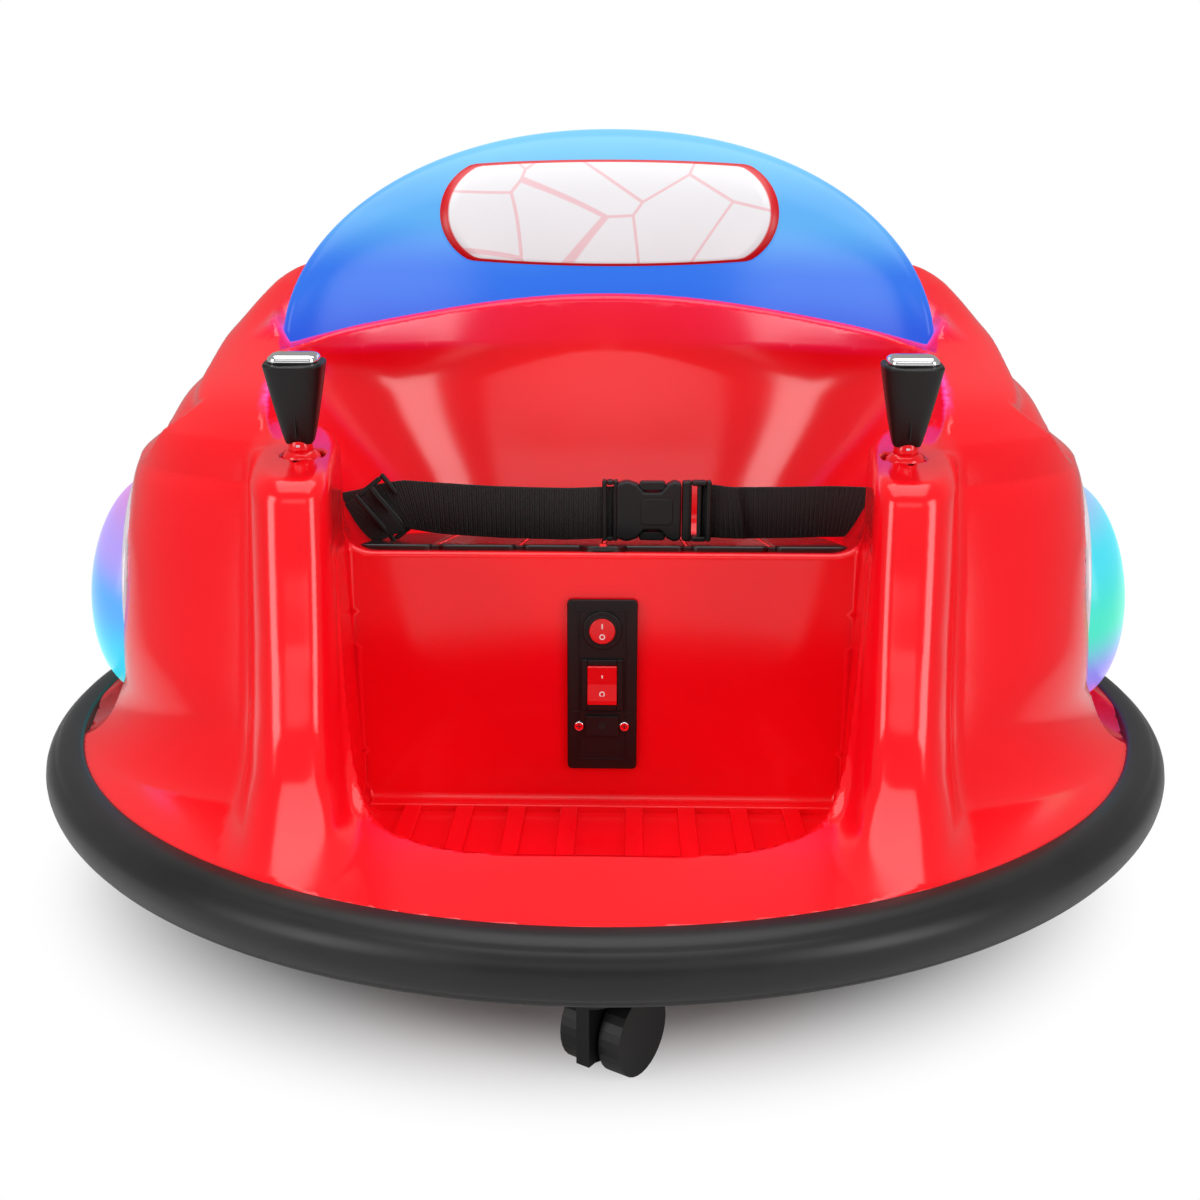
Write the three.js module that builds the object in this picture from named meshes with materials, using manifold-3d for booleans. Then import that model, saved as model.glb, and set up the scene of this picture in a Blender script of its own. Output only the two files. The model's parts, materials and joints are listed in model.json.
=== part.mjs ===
// A child's electric bumper car: a moulded body shell with a bucket seat and a footwell, on a
// moulded floor pan inside a bumper ring. It drives on two geared wheels and two castors, and
// is steered by a pair of joysticks.
// Millimetres, +Z up. The rider faces -Y, so the car's left is at +X. The origin is on the
// floor under the car's middle.
import * as THREE from 'three';
import { mergeVertices } from 'three/addons/utils/BufferGeometryUtils.js';
import Module from 'manifold-3d';

const wasm = await Module();
wasm.setup();

// ---- Driving dimensions ----
const gap = 0.3; // between pieces that are seated on each other
const overcut = 5; // how far a cutter runs past what it cuts
const smallest = 0.06; // detail finer than this is left out of a piece's faces

const bumper = { width: 670, length: 730, bottom: 67, height: 31, depth: 33, topBand: 21, step: 19 };
const shellWall = 5;
const flangeHeight = 9;
const aboveAll = 500; // a height over the whole car, for cutters

// The shell's outline at each height. side, front and back are how far it stands in from the
// edge of the shell's flange, power is the superellipse's exponent, and centre is where its
// front and back halves meet.
const hullStations = [
  { z: 98, side: 8, front: 14, back: 8, power: 2.05, centre: 0 },
  { z: 103, side: 15, front: 50, back: 20, power: 2.2, centre: 0 },
  { z: 108, side: 18, front: 88, back: 28, power: 2.5, centre: 0 },
  { z: 118, side: 20, front: 106, back: 34, power: 2.8, centre: 0 },
  { z: 150, side: 22, front: 128, back: 40, power: 3, centre: 0 },
  { z: 205, side: 24, front: 162, back: 50, power: 3, centre: 0 },
  { z: 240, side: 29, front: 182, back: 58, power: 2.9, centre: 0 },
  { z: 262, side: 39, front: 197, back: 64, power: 2.7, centre: 20 },
  { z: 285, side: 46, front: 234, back: 72, power: 2.5, centre: 40 },
  { z: 303, side: 57, front: 300, back: 74, power: 2.4, centre: 60 },
  { z: 318, side: 68, front: 344, back: 78, power: 2.3, centre: 75 },
  { z: 335, side: 82, front: 387, back: 84, power: 2.3, centre: 92 },
  { z: 350, side: 97, front: 422, back: 92, power: 2.3, centre: 110 },
  { z: 357, side: 107, front: 430, back: 102, power: 2.3, centre: 110 },
];
const hullTop = hullStations.at(-1).z;
const planPoints = 48; // corners in each outline, a multiple of four

const seat = { front: -115, height: 205, slope: 0.151, rim: 172, backCentre: -40 };
// The bucket's plan at heights above the seat's front edge. rim is how far its side stands in
// from the flange's edge, back is how far the backrest stands behind the seat's front edge, and
// power is the plan's exponent.
const cockpitStations = [
  { above: -55, rim: seat.rim, back: 165, power: 2.6 },
  { above: 0, rim: seat.rim, back: 177, power: 2.6 },
  { above: 25, rim: 156, back: 186, power: 2.5 },
  { above: 52, rim: 138, back: 194, power: 2.35 },
  { above: 85, rim: 119, back: 204, power: 2.15 },
  { above: 113, rim: 115, back: 212, power: 2 },
  { above: 140, rim: 112, back: 222, power: 1.95 },
  { above: 275, rim: 100, back: 262, power: 1.95 },
];
// The footwell narrows from the seat's width by these amounts at its floor and its top. lip is
// how far its front stands in from the flange's edge.
const footwell = { lip: 57, floor: 57, narrowLow: 6.7, narrowHigh: 0.7, power: 3.5 };
const floorRib = { pitch: 29.5, width: 10, height: 2.5, perSide: 4 };
const heelStrip = 10; // the raised strip along the riser's foot, which the ribs run into

// The armrest towers, one on each side of the footwell. outboard is from the seat's side to the
// tower's middle. front is how far each station stands in from the flange's edge.
const tower = { outboard: 12.8, back: -70, topHeight: 256, topInset: 152, topSlope: 0.13, power: 3 };
const towerStations = [
  { z: 84, half: 27, front: 30 },
  { z: 99, half: 26.5, front: 36 },
  { z: 105, half: 24.5, front: 57 },
  { z: 118, half: 22.5, front: 83 },
  { z: 140, half: 21, front: 103 },
  { z: 175, half: 20.8, front: 123 },
  { z: 215, half: 20.5, front: 138 },
  { z: 250, half: 20, front: 148 },
  { z: 262, half: 17, front: 153 },
  { z: 275, half: 14, front: 160 },
];

// bow is how strongly the dome curves forwards round the rider.
const dome = {
  inset: 107.7,
  halfDepth: 67,
  height: 146,
  base: 300,
  y: 170,
  bow: 0.0032,
  power: 2.1,
  wall: 4,
};
// The backrest's top edge, along which the dome rises out of the shell. It falls by drop from
// the middle to the dome's tips, and then climbs the shoulders and runs back round the dome's
// ends. tipY is where the tips are, and run is how far it goes back for each millimetre of rise.
const seam = { height: 334, drop: 28, tipInset: 7, climb: 1.5, tipY: 20, run: 1.6 };
const lamp = {
  y: -2,
  z: 160,
  halfLength: 88,
  halfHeight: 74,
  bulge: 35,
  rim: 7,
  rimDepth: 5,
  seatInset: 30,
  wall: 3,
  border: 8, // of the flat round it
};

const mat = {
  thickness: 3,
  front: 12,
  depth: 136,
  sideGap: 4.7,
  slot: 3,
  slots: 5,
  slotMargin: 14,
  pitch: 47,
  notch: 14,
};

const plate = { width: 39, height: 99, thickness: 3, z: 129.5, corner: 4 };
const roundSwitch = { radius: 11.6, button: 7.8, z: 161, height: 3.5, bezel: 2 };
const squareSwitch = { width: 23.4, height: 29, z: 130, frame: 2.5, depth: 4, bezel: 2 };
const chargeCover = { width: 18, height: 12, z: 105, thickness: 1.6 };

const stick = { inset: 201.8, outboard: 3, sink: 7, ball: 13, play: 0.5, lean: 7, neck: 4, gripFoot: 17 };
const grip = { bottom: 7, top: 15.7, height: 39, flat: 0.85 };
const stickCap = { radius: 13.2, height: 5, edge: 2.8 };

// The belt stands on edge across the seat. It curves forwards by sag at its middle.
const belt = { width: 30, thickness: 1.6, y: -60, sag: 20, slotDepth: 12 };
const buckle = {
  x: 30,
  length: 62,
  socket: 45,
  height: 36,
  thickness: 11,
  lift: 0.4, // over the seat mat
  below: 1.5, // under the belt's lower edge
  grasp: 7, // how much of each strap it holds
};
const adjuster = { fromWall: 16, width: 22, height: 34, thickness: 4 };

const pan = { bottom: 44, wall: 4, edge: 76, shoulderZ: 62, shoulder: 26, rimZ: 74 };
const driveWheel = {
  radius: 55,
  width: 26,
  inset: 98.7,
  y: 18,
  tread: 12,
  axle: 4,
  hub: 14,
  web: 6,
  rim: 4,
};
const wheelWell = { clearance: 8, wall: 3 };
const gearbox = { width: 36, length: 84, height: 66, fromWheel: 14, ahead: 16, bore: 20 };
const battery = { width: 151, depth: 66, height: 95, y: -32 };

const castor = {
  radius: 20,
  wheelWidth: 11,
  web: 7, // between its two wheels
  side: 1.5, // clearance beside the web
  trail: 16,
  clear: 1, // between the plate and the footwell's front wall, in plan
  axle: 2.5,
  stem: 5,
  plate: 11,
  boss: 10,
  cap: 3, // the wall over the stem's hole, and the stem's clearance below it
  lift: 1, // from the wheels' top up to the plate's underside
  plateHeight: 6,
  behind: 9, // how far the web reaches past the axle
  recess: 8, // the pan's hollow round the plate
  headroom: 5.3, // between the boss and the shell's flange
};
const badge = { width: 222, height: 70, thickness: 2, z: 389, ahead: 12 }; // ahead of the dome's middle
const castorTurnFront = 147; // degrees that each castor has swivelled from trailing forwards
const castorTurnRear = -20;

// ---- Materials ----
const finish = (color, roughness, metalness = 0) =>
  new THREE.MeshStandardMaterial({ color, roughness, metalness });
const redPlastic = finish('#e8141b', 0.18);
const blackPlastic = finish('#161616', 0.45);
const bumperRubber = finish('#3a3a39', 0.6);
const lensPlastic = finish('#58b4f5', 0.25);
const rimPlastic = finish('#e6e4e8', 0.2);
const chrome = finish('#dcdcdc', 0.08, 1);
const steel = finish('#9a9a9a', 0.35, 1);
const webbing = finish('#0f0f0f', 0.85);
const switchRed = finish('#d8121a', 0.25);

// ---- Solids ----
const solidOf = (geometry) => {
  const bare = geometry.index ? geometry.clone() : mergeVertices(geometry);
  ['normal', 'uv'].forEach((name) => bare.deleteAttribute(name));
  const merged = mergeVertices(bare, 1e-4);
  return new wasm.Manifold(
    new wasm.Mesh({
      numProp: 3,
      vertProperties: new Float32Array(merged.attributes.position.array),
      triVerts: new Uint32Array(merged.index.array),
    }),
  );
};

const geometryOf = (solid) => {
  const { numProp, numVert, vertProperties, triVerts } = solid.simplify(smallest).getMesh();
  const positions = new Float32Array(numVert * 3);
  for (let i = 0; i < numVert; i++) {
    positions.set(vertProperties.subarray(i * numProp, i * numProp + 3), i * 3);
  }
  const geometry = new THREE.BufferGeometry();
  geometry.setAttribute('position', new THREE.BufferAttribute(positions, 3));
  geometry.setIndex(new THREE.BufferAttribute(new Uint32Array(triVerts), 1));
  return geometry;
};

const placed = (geometry, x = 0, y = 0, z = 0) => solidOf(geometry.clone().translate(x, y, z));
const box = (x0, x1, y0, y1, z0, z1) =>
  placed(new THREE.BoxGeometry(x1 - x0, y1 - y0, z1 - z0), (x0 + x1) / 2, (y0 + y1) / 2, (z0 + z1) / 2);
const drum = (radius, length, sides) => new THREE.CylinderGeometry(radius, radius, length, sides);
const cylinderX = (radius, x0, x1, y, z, sides = 32) =>
  placed(drum(radius, x1 - x0, sides).rotateZ(Math.PI / 2), (x0 + x1) / 2, y, z);
const cylinderY = (radius, y0, y1, x, z, sides = 28) =>
  placed(drum(radius, y1 - y0, sides), x, (y0 + y1) / 2, z);
const cylinderZ = (radius, z0, z1, x, y, sides = 28) =>
  placed(drum(radius, z1 - z0, sides).rotateX(Math.PI / 2), x, y, (z0 + z1) / 2);
const mirrored = (solid) => solid.mirror([1, 0, 0]);

// A closed solid through rings of equal length, each listed anticlockwise seen from above.
const loft = (rings) => {
  const count = rings[0].length;
  const positions = rings.flat().flatMap((p) => [p.x, p.y, p.z]);
  const faces = [];
  for (let r = 0; r + 1 < rings.length; r++) {
    for (let i = 0; i < count; i++) {
      const [a, b] = [r * count + i, r * count + ((i + 1) % count)];
      faces.push(a, b, b + count, a, b + count, a + count);
    }
  }
  const cap = (ring, first, upwards) => {
    const flat = ring.map((p) => new THREE.Vector2(p.x, p.y));
    for (const [a, b, c] of THREE.ShapeUtils.triangulateShape(flat, [])) {
      faces.push(...(upwards ? [first + a, first + b, first + c] : [first + a, first + c, first + b]));
    }
  };
  cap(rings[0], 0, false);
  cap(rings.at(-1), (rings.length - 1) * count, true);
  const geometry = new THREE.BufferGeometry();
  geometry.setAttribute('position', new THREE.Float32BufferAttribute(positions, 3));
  geometry.setIndex(faces);
  return solidOf(geometry);
};

const signedPower = (value, power) => Math.sign(value) * Math.abs(value) ** power;

// A superellipse whose front and back halves reach different distances from its centre.
const superellipse = ({ x = 0, z, half, front, back, centre, power }, count) =>
  Array.from({ length: count }, (_, i) => {
    const angle = (2 * Math.PI * i) / count;
    const reach = Math.sin(angle) > 0 ? back - centre : centre - front;
    return new THREE.Vector3(
      x + half * signedPower(Math.cos(angle), 2 / power),
      centre + reach * signedPower(Math.sin(angle), 2 / power),
      z,
    );
  });

// A shape drawn in XY, extruded up from z.
const prism = (shape, z, depth, curveSegments = 8) =>
  placed(new THREE.ExtrudeGeometry(shape, { depth, bevelEnabled: false, curveSegments }), 0, 0, z);

// An outline of (y, z) points, extruded along X.
const sideways = (outline, x0, x1) => {
  const shape = new THREE.Shape(outline.map(([y, z]) => new THREE.Vector2(y, z)));
  const extruded = new THREE.ExtrudeGeometry(shape, { depth: x1 - x0, bevelEnabled: false });
  return placed(extruded.rotateX(Math.PI / 2).rotateZ(Math.PI / 2), x0);
};

const roundedRectangle = (width, height, radius) => {
  const [x, y] = [width / 2, height / 2];
  return new THREE.Shape()
    .moveTo(radius - x, -y)
    .lineTo(x - radius, -y)
    .absarc(x - radius, radius - y, radius, -Math.PI / 2, 0)
    .lineTo(x, y - radius)
    .absarc(x - radius, y - radius, radius, 0, Math.PI / 2)
    .lineTo(radius - x, y)
    .absarc(radius - x, y - radius, radius, Math.PI / 2, Math.PI)
    .lineTo(-x, radius - y)
    .absarc(radius - x, radius - y, radius, Math.PI, 1.5 * Math.PI);
};

// ---- Places that pieces share ----
const stretch = bumper.length / bumper.width; // the plan is a circle drawn out along Y
const flange = {
  half: bumper.width / 2 - bumper.topBand - gap,
  bottom: bumper.bottom + bumper.step + gap,
};
flange.reach = flange.half * stretch;
flange.top = flange.bottom + flangeHeight;
const bumperInside = bumper.width / 2 - bumper.depth;
const seatHalf = flange.half - seat.rim;
const seatTop = (y) => seat.height - seat.slope * (y - seat.front);
const seatTilt = Math.atan(seat.slope);
const lampFace = flange.half - lamp.seatInset; // the plane that a side lamp's rim is seated on
const towerX = seatHalf + tower.outboard;
const towerTop = (y) => tower.topHeight + tower.topSlope * (y + flange.reach - tower.topInset);
const stickY = stick.inset - flange.reach;
const stickX = towerX + stick.outboard;
const stickPivot = new THREE.Vector3(stickX, stickY, towerTop(stickY) - stick.sink);
const domeHalf = flange.half - dome.inset;
const wheelX = flange.half - driveWheel.inset;
const castorY = flange.reach - footwell.lip + shellWall + castor.plate + castor.clear;
const castorTop = flange.bottom - castor.headroom; // the top of the boss that holds its stem
const castorUnder = 2 * castor.radius + castor.lift; // the underside of its plate
const castorRoof = castorUnder + castor.plateHeight; // the face that its plate turns on

const group = new THREE.Group();
const add = (name, solid, material, parent = group) => {
  const mesh = new THREE.Mesh(geometryOf(solid), material);
  mesh.name = name;
  parent.add(mesh);
  return mesh;
};
const sides = [
  { name: 'left', sign: 1 },
  { name: 'right', sign: -1 },
];
const onSide = (solid, sign) => (sign < 0 ? mirrored(solid) : solid);

const ellipse = (half, z, count = planPoints) =>
  superellipse({ z, half, front: -half * stretch, back: half * stretch, centre: 0, power: 2 }, count);

// A slab over the whole plan.
const wholePlan = (z0, z1) => box(-flange.half, flange.half, -flange.reach, flange.reach, z0, z1);

// Everything inside the flange's edge.
const flangeColumn = (inset) =>
  loft([ellipse(flange.half - inset, inset ? 0 : flange.bottom), ellipse(flange.half - inset, aboveAll)]);

// ---- Body shell ----
const hull = (inset, drop) => {
  const ring = ({ z, side, front, back, power, centre }) =>
    superellipse(
      {
        z: z - drop,
        half: flange.half - side - inset,
        front: front + inset - flange.reach,
        back: flange.reach - back - inset,
        centre,
        power,
      },
      planPoints,
    );
  const edge = { side: 0, front: 0, back: 0, power: 2, centre: 0 };
  const foot = { z: flange.bottom - (drop ? overcut : 0), ...edge };
  return loft([foot, { z: flange.top, ...edge }, ...hullStations].map(ring));
};

const cockpit = (grow) => {
  const arcPoints = 16;
  const ring = ({ above, rim, back, power }) => {
    const half = flange.half - rim + grow;
    const reach = seat.front + back + grow - seat.backCentre;
    const arc = Array.from({ length: arcPoints + 1 }, (_, i) => {
      const angle = (Math.PI * i) / arcPoints;
      return new THREE.Vector3(
        half * signedPower(Math.cos(angle), 2 / power),
        seat.backCentre + reach * signedPower(Math.sin(angle), 2 / power),
        seat.height + above,
      );
    });
    const front = -flange.reach - overcut;
    const z = arc[0].z;
    return [new THREE.Vector3(half, front, z), ...arc, new THREE.Vector3(-half, front, z)];
  };
  const [low, high] = [-flange.reach - 2 * overcut, flange.reach];
  const under = [
    [low, 0],
    [high, 0],
    [high, seatTop(high) - grow],
    [low, seatTop(low) - grow],
  ];
  return loft(cockpitStations.map(ring)).subtract(sideways(under, -flange.half, flange.half));
};

// The space between the towers, which the footwell's front half-oval runs back into.
const legSpace = (grow) => {
  const ring = (z, half) =>
    superellipse(
      {
        z,
        half: half + grow,
        front: footwell.lip - flange.reach - grow,
        back: 2 * seat.front + flange.reach - footwell.lip,
        centre: seat.front,
        power: footwell.power,
      },
      32,
    );
  const high = seatHalf - footwell.narrowHigh;
  const low = seatHalf - footwell.narrowLow;
  return loft([ring(footwell.floor - grow, low), ring(seat.height, high), ring(aboveAll, high)]);
};

const footwellVolume = (grow) => {
  const behind = box(-flange.half, flange.half, seat.front + grow, flange.reach, 0, aboveAll + overcut);
  return legSpace(grow).subtract(behind);
};

const towerSolid = (inset) => {
  const ring = ({ z, half, front }) =>
    superellipse(
      {
        x: towerX,
        z: z - (inset ? overcut : 0),
        half: half - inset,
        front: front - flange.reach + inset,
        back: tower.back - inset,
        centre: (front - flange.reach + tower.back) / 2,
        power: tower.power,
      },
      20,
    );
  const [low, high] = [-flange.reach, 0];
  const above = sideways(
    [
      [low, towerTop(low) - inset],
      [high, towerTop(high) - inset],
      [high, aboveAll],
      [low, aboveAll],
    ],
    0,
    flange.half,
  );
  const whole = loft(towerStations.map(ring)).subtract(above);
  return whole.subtract(legSpace(inset)).intersect(flangeColumn(inset));
};

// A superellipsoid bowed in plan, so that it follows the backrest round the rider.
const domeSolid = (grow) => {
  const sphere = new THREE.SphereGeometry(1, 32, 14).rotateX(Math.PI / 2);
  sphere.deleteAttribute('uv');
  sphere.deleteAttribute('normal');
  const unit = mergeVertices(sphere, 1e-4);
  const points = unit.attributes.position;
  const power = 2 / dome.power;
  for (let i = 0; i < points.count; i++) {
    const p = new THREE.Vector3().fromBufferAttribute(points, i);
    const rise = Math.asin(THREE.MathUtils.clamp(p.z, -1, 1));
    const around = Math.atan2(p.y, p.x);
    const spread = signedPower(Math.cos(rise), power);
    const x = (domeHalf + grow) * spread * signedPower(Math.cos(around), power);
    const y = (dome.halfDepth + grow) * spread * signedPower(Math.sin(around), power);
    const z = (dome.height + grow) * signedPower(Math.sin(rise), power);
    points.setXYZ(i, x, dome.y + y - dome.bow * x * x, dome.base + z);
  }
  return solidOf(unit).subtract(wholePlan(0, dome.base - Math.max(grow, 0)));
};

// What is cut away in front of the dome and at its ends, above the backrest's top edge.
const aboveSeam = () => {
  const steps = 12;
  const half = flange.half;
  const points = Array.from({ length: steps + 1 }, (_, i) => half * ((2 * i) / steps - 1));
  const tip = domeHalf - seam.tipInset;
  const edge = (x) => {
    const middle = seam.height - seam.drop * (x / tip) ** 2;
    const shoulder = seam.height - seam.drop + seam.climb * (Math.abs(x) - tip);
    return new THREE.Vector2(x, Math.min(Math.max(middle, shoulder), aboveAll - overcut));
  };
  const bowed = (x) => new THREE.Vector2(x, dome.y - dome.bow * x * x);
  const corner = (x, y) => new THREE.Vector2(x, y);
  const above = new THREE.Shape([...points.map(edge), corner(half, aboveAll), corner(-half, aboveAll)]);
  const front = -flange.reach - overcut;
  const back = points.map(bowed).reverse();
  const inFront = new THREE.Shape([corner(-half, front), corner(half, front), ...back]);
  const wall = new THREE.ExtrudeGeometry(above, { depth: 2 * flange.reach, bevelEnabled: false });
  const low = seam.height - seam.drop;
  const ends = [
    [front, low],
    [seam.tipY, low],
    [seam.tipY + seam.run * (aboveAll - low), aboveAll],
    [front, aboveAll],
  ];
  const ahead = prism(inFront, 0, aboveAll).add(sideways(ends, -half, half));
  return placed(wall.rotateX(Math.PI / 2), 0, flange.reach).intersect(ahead);
};

const ellipseX = (halfLength, halfHeight, x0, x1) => {
  const shape = new THREE.Shape().absellipse(0, 0, halfLength, halfHeight, 0, 2 * Math.PI);
  const settings = { depth: x1 - x0, bevelEnabled: false, curveSegments: 18 };
  const onItsSide = new THREE.ExtrudeGeometry(shape, settings).rotateX(Math.PI / 2);
  return placed(onItsSide.rotateZ(Math.PI / 2), x0, lamp.y, lamp.z);
};

// The raised strips along the footwell's floor.
const floorRibs = () => {
  const [low, high] = [footwell.floor - 1, footwell.floor + floorRib.height];
  const across = seatHalf - footwell.narrowLow + 1;
  const ribs = [box(-across, across, seat.front - heelStrip, seat.front + 1, low, high)];
  for (let i = 1; i <= floorRib.perSide; i++) {
    // The outer ribs are shorter, because the footwell's front is rounded.
    const front = footwell.lip - flange.reach + 10 + 2 * i * i;
    for (const { sign } of sides) {
      const x = sign * i * floorRib.pitch;
      ribs.push(box(x - floorRib.width / 2, x + floorRib.width / 2, front, seat.front + 1, low, high));
    }
  }
  return ribs;
};

// A block lying along the seat's sloping top, from y0 to y1, between two heights above it.
const seatBlock = (x0, x1, y0, y1, low, high) =>
  box(x0, x1, 0, y1 - y0, low, high)
    .rotate([-THREE.MathUtils.radToDeg(seatTilt), 0, 0])
    .translate([0, y0, seatTop(y0)]);

const matSlots = () => Array.from({ length: mat.slots }, (_, i) => (i - (mat.slots - 1) / 2) * mat.pitch);
const matFront = seat.front + mat.front;

const bodyShell = () => {
  let outside = hull(0, 0).subtract(cockpit(0));
  let hollow = hull(shellWall, shellWall).subtract(cockpit(shellWall));
  hollow = hollow.subtract(wholePlan(dome.base - shellWall, aboveAll));
  for (const { sign } of sides) {
    outside = outside.add(onSide(towerSolid(0), sign));
    hollow = hollow.add(onSide(towerSolid(shellWall), sign));
  }
  const tub = footwellVolume(shellWall).intersect(wholePlan(0, flange.top));
  outside = outside.add(tub).subtract(footwellVolume(0));
  const collar = domeSolid(shellWall).intersect(wholePlan(0, hullTop)).subtract(aboveSeam());
  outside = outside.add(collar);
  hollow = hollow.subtract(footwellVolume(shellWall));
  let shell = outside.subtract(hollow);
  const lampOval = (grow, x0, x1) => ellipseX(lamp.halfLength + grow, lamp.halfHeight + grow, x0, x1);
  const boss = lampOval(lamp.border, lampFace - shellWall, lampFace + 2);
  const pocket = lampOval(gap, lampFace, flange.half + lamp.bulge);
  const bulbHole = ellipseX(lamp.halfLength / 3, lamp.halfHeight / 3, lampFace - lamp.bulge, flange.half);
  const socket = placed(new THREE.SphereGeometry(stick.ball + stick.play, 20, 12), ...stickPivot);
  const beltSlot = beltStrip(gap, -beltReach, beltReach).subtract(cockpit(-1));
  for (const { sign } of sides) {
    shell = shell.add(onSide(boss.intersect(hull(0, 0)), sign));
    shell = shell.subtract(onSide(pocket.add(bulbHole), sign)).subtract(onSide(socket, sign));
  }
  shell = shell.subtract(domeSolid(gap)).subtract(aboveSeam()).subtract(beltSlot);
  for (const rib of floorRibs()) shell = shell.add(rib);
  for (const x of matSlots()) {
    const [y0, y1] = [matFront + mat.slotMargin, matFront + mat.depth - mat.slotMargin];
    const half = mat.slot / 2 - gap;
    shell = shell.add(seatBlock(x - half, x + half, y0 + gap, y1 - gap, -1, mat.thickness + gap));
  }
  return shell;
};

// ---- Bumper ring ----
const bumperRing = () => {
  const [r, z0, z1] = [bumper.width / 2, bumper.bottom, bumper.bottom + bumper.height];
  const profile = [
    [r - bumper.depth, z0 + 2],
    [r - bumper.depth + 2, z0],
    [r - 8, z0],
    [r - 3, z0 + 2.5],
    [r - 0.8, z0 + 8],
    [r, z0 + 15],
    [r - 1.2, z0 + 22],
    [r - 4.5, z0 + 27],
    [r - 9, z1 - 1],
    [r - 14, z1],
    [r - bumper.topBand + 2, z1 - 0.5],
    [r - bumper.topBand, z1 - 3],
    [r - bumper.topBand, z0 + bumper.step],
    [r - bumper.depth, z0 + bumper.step],
    [r - bumper.depth, z0 + 2],
  ].map(([x, y]) => new THREE.Vector2(x, y));
  const ring = new THREE.LatheGeometry(profile, planPoints);
  return solidOf(ring.rotateX(Math.PI / 2).scale(1, stretch, 1));
};

// ---- Floor pan ----
const wellBox = (grow) => {
  const half = driveWheel.width / 2 + wheelWell.clearance + grow;
  const radius = driveWheel.radius + wheelWell.clearance + grow;
  return cylinderX(radius, wheelX - half, wheelX + half, driveWheel.y, driveWheel.radius, 36);
};

const floorPan = () => {
  const rim = bumperInside - gap;
  const top = flange.bottom - gap;
  const outer = [
    ellipse(bumperInside - pan.edge, pan.bottom),
    ellipse(bumperInside - pan.shoulder, pan.shoulderZ),
    ellipse(rim, pan.rimZ),
    ellipse(rim, top),
  ];
  const inner = [
    ellipse(bumperInside - pan.edge - 1, pan.bottom + pan.wall),
    ellipse(bumperInside - pan.shoulder - 3, pan.shoulderZ + pan.wall),
    ellipse(rim - pan.wall, pan.rimZ + pan.wall),
    ellipse(rim - pan.wall, top + overcut),
  ];
  const dish = loft(outer);
  let tray = dish.subtract(loft(inner));
  const above = wholePlan(pan.bottom, aboveAll);
  for (const { sign } of sides) {
    const axleHole = driveBore(driveWheel.axle + 2 * gap, wheelX - 40, wheelX, 24);
    tray = tray.add(onSide(wellBox(wheelWell.wall).intersect(above), sign));
    tray = tray.subtract(onSide(wellBox(0), sign)).subtract(onSide(axleHole, sign));
  }
  for (const y of [-castorY, castorY]) {
    tray = tray.add(cylinderZ(castor.boss, castorRoof, castorTop, 0, y, 24));
    tray = tray.subtract(cylinderZ(castor.boss + castor.recess, 0, castorRoof, 0, y, 24));
    tray = tray.subtract(cylinderZ(castor.stem + gap, castorRoof - 1, castorTop - castor.cap, 0, y, 24));
  }
  return tray.subtract(footwellVolume(shellWall + gap));
};

// ---- Drive ----
const driveBore = (radius, x0, x1, sides = 20) =>
  cylinderX(radius, x0, x1, driveWheel.y, driveWheel.radius, sides);

const driveTyre = () => {
  const [r, w] = [driveWheel.radius, driveWheel.width / 2];
  const profile = [
    [r - driveWheel.tread, -w],
    [r - 3, -w],
    [r, 3 - w],
    [r, w - 3],
    [r - 3, w],
    [r - driveWheel.tread, w],
    [r - driveWheel.tread, -w],
  ].map(([x, y]) => new THREE.Vector2(x, y));
  return placed(new THREE.LatheGeometry(profile, 28).rotateZ(Math.PI / 2), wheelX, driveWheel.y, r);
};

const driveHub = () => {
  const [r, w] = [driveWheel.radius - driveWheel.tread - gap, driveWheel.width / 2];
  const [rim, web, bore] = [r - driveWheel.rim, driveWheel.web / 2, driveWheel.axle + gap];
  const profile = [
    [bore, -w],
    [driveWheel.hub, -w],
    [driveWheel.hub, -web],
    [rim, -web],
    [rim, -w],
    [r, -w],
    [r, w],
    [rim, w],
    [rim, web],
    [driveWheel.hub, web],
    [driveWheel.hub, w],
    [bore, w],
    [bore, -w],
  ].map(([x, y]) => new THREE.Vector2(x, y));
  const turned = new THREE.LatheGeometry(profile, 28).rotateZ(Math.PI / 2);
  return placed(turned, wheelX, driveWheel.y, driveWheel.radius);
};

const gearboxOuter = wheelX - driveWheel.width / 2 - gearbox.fromWheel;
const driveAxle = () =>
  driveBore(driveWheel.axle, gearboxOuter - gearbox.bore, wheelX + driveWheel.width / 2 + 2);

const gearboxCase = () => {
  const [y0, z0] = [driveWheel.y - gearbox.ahead, pan.bottom + pan.wall + gap];
  const [y1, z1] = [y0 + gearbox.length, z0 + gearbox.height];
  const block = box(gearboxOuter - gearbox.width, gearboxOuter, y0, y1, z0, z1);
  const bore = driveBore(driveWheel.axle + gap, gearboxOuter - gearbox.bore - 2, gearboxOuter + 1);
  return block.subtract(bore);
};

const batteryBlock = () => {
  const [half, z0] = [battery.width / 2, pan.bottom + pan.wall + gap];
  const [y0, y1] = [battery.y - battery.depth / 2, battery.y + battery.depth / 2];
  return box(-half, half, y0, y1, z0, z0 + battery.height);
};

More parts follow.
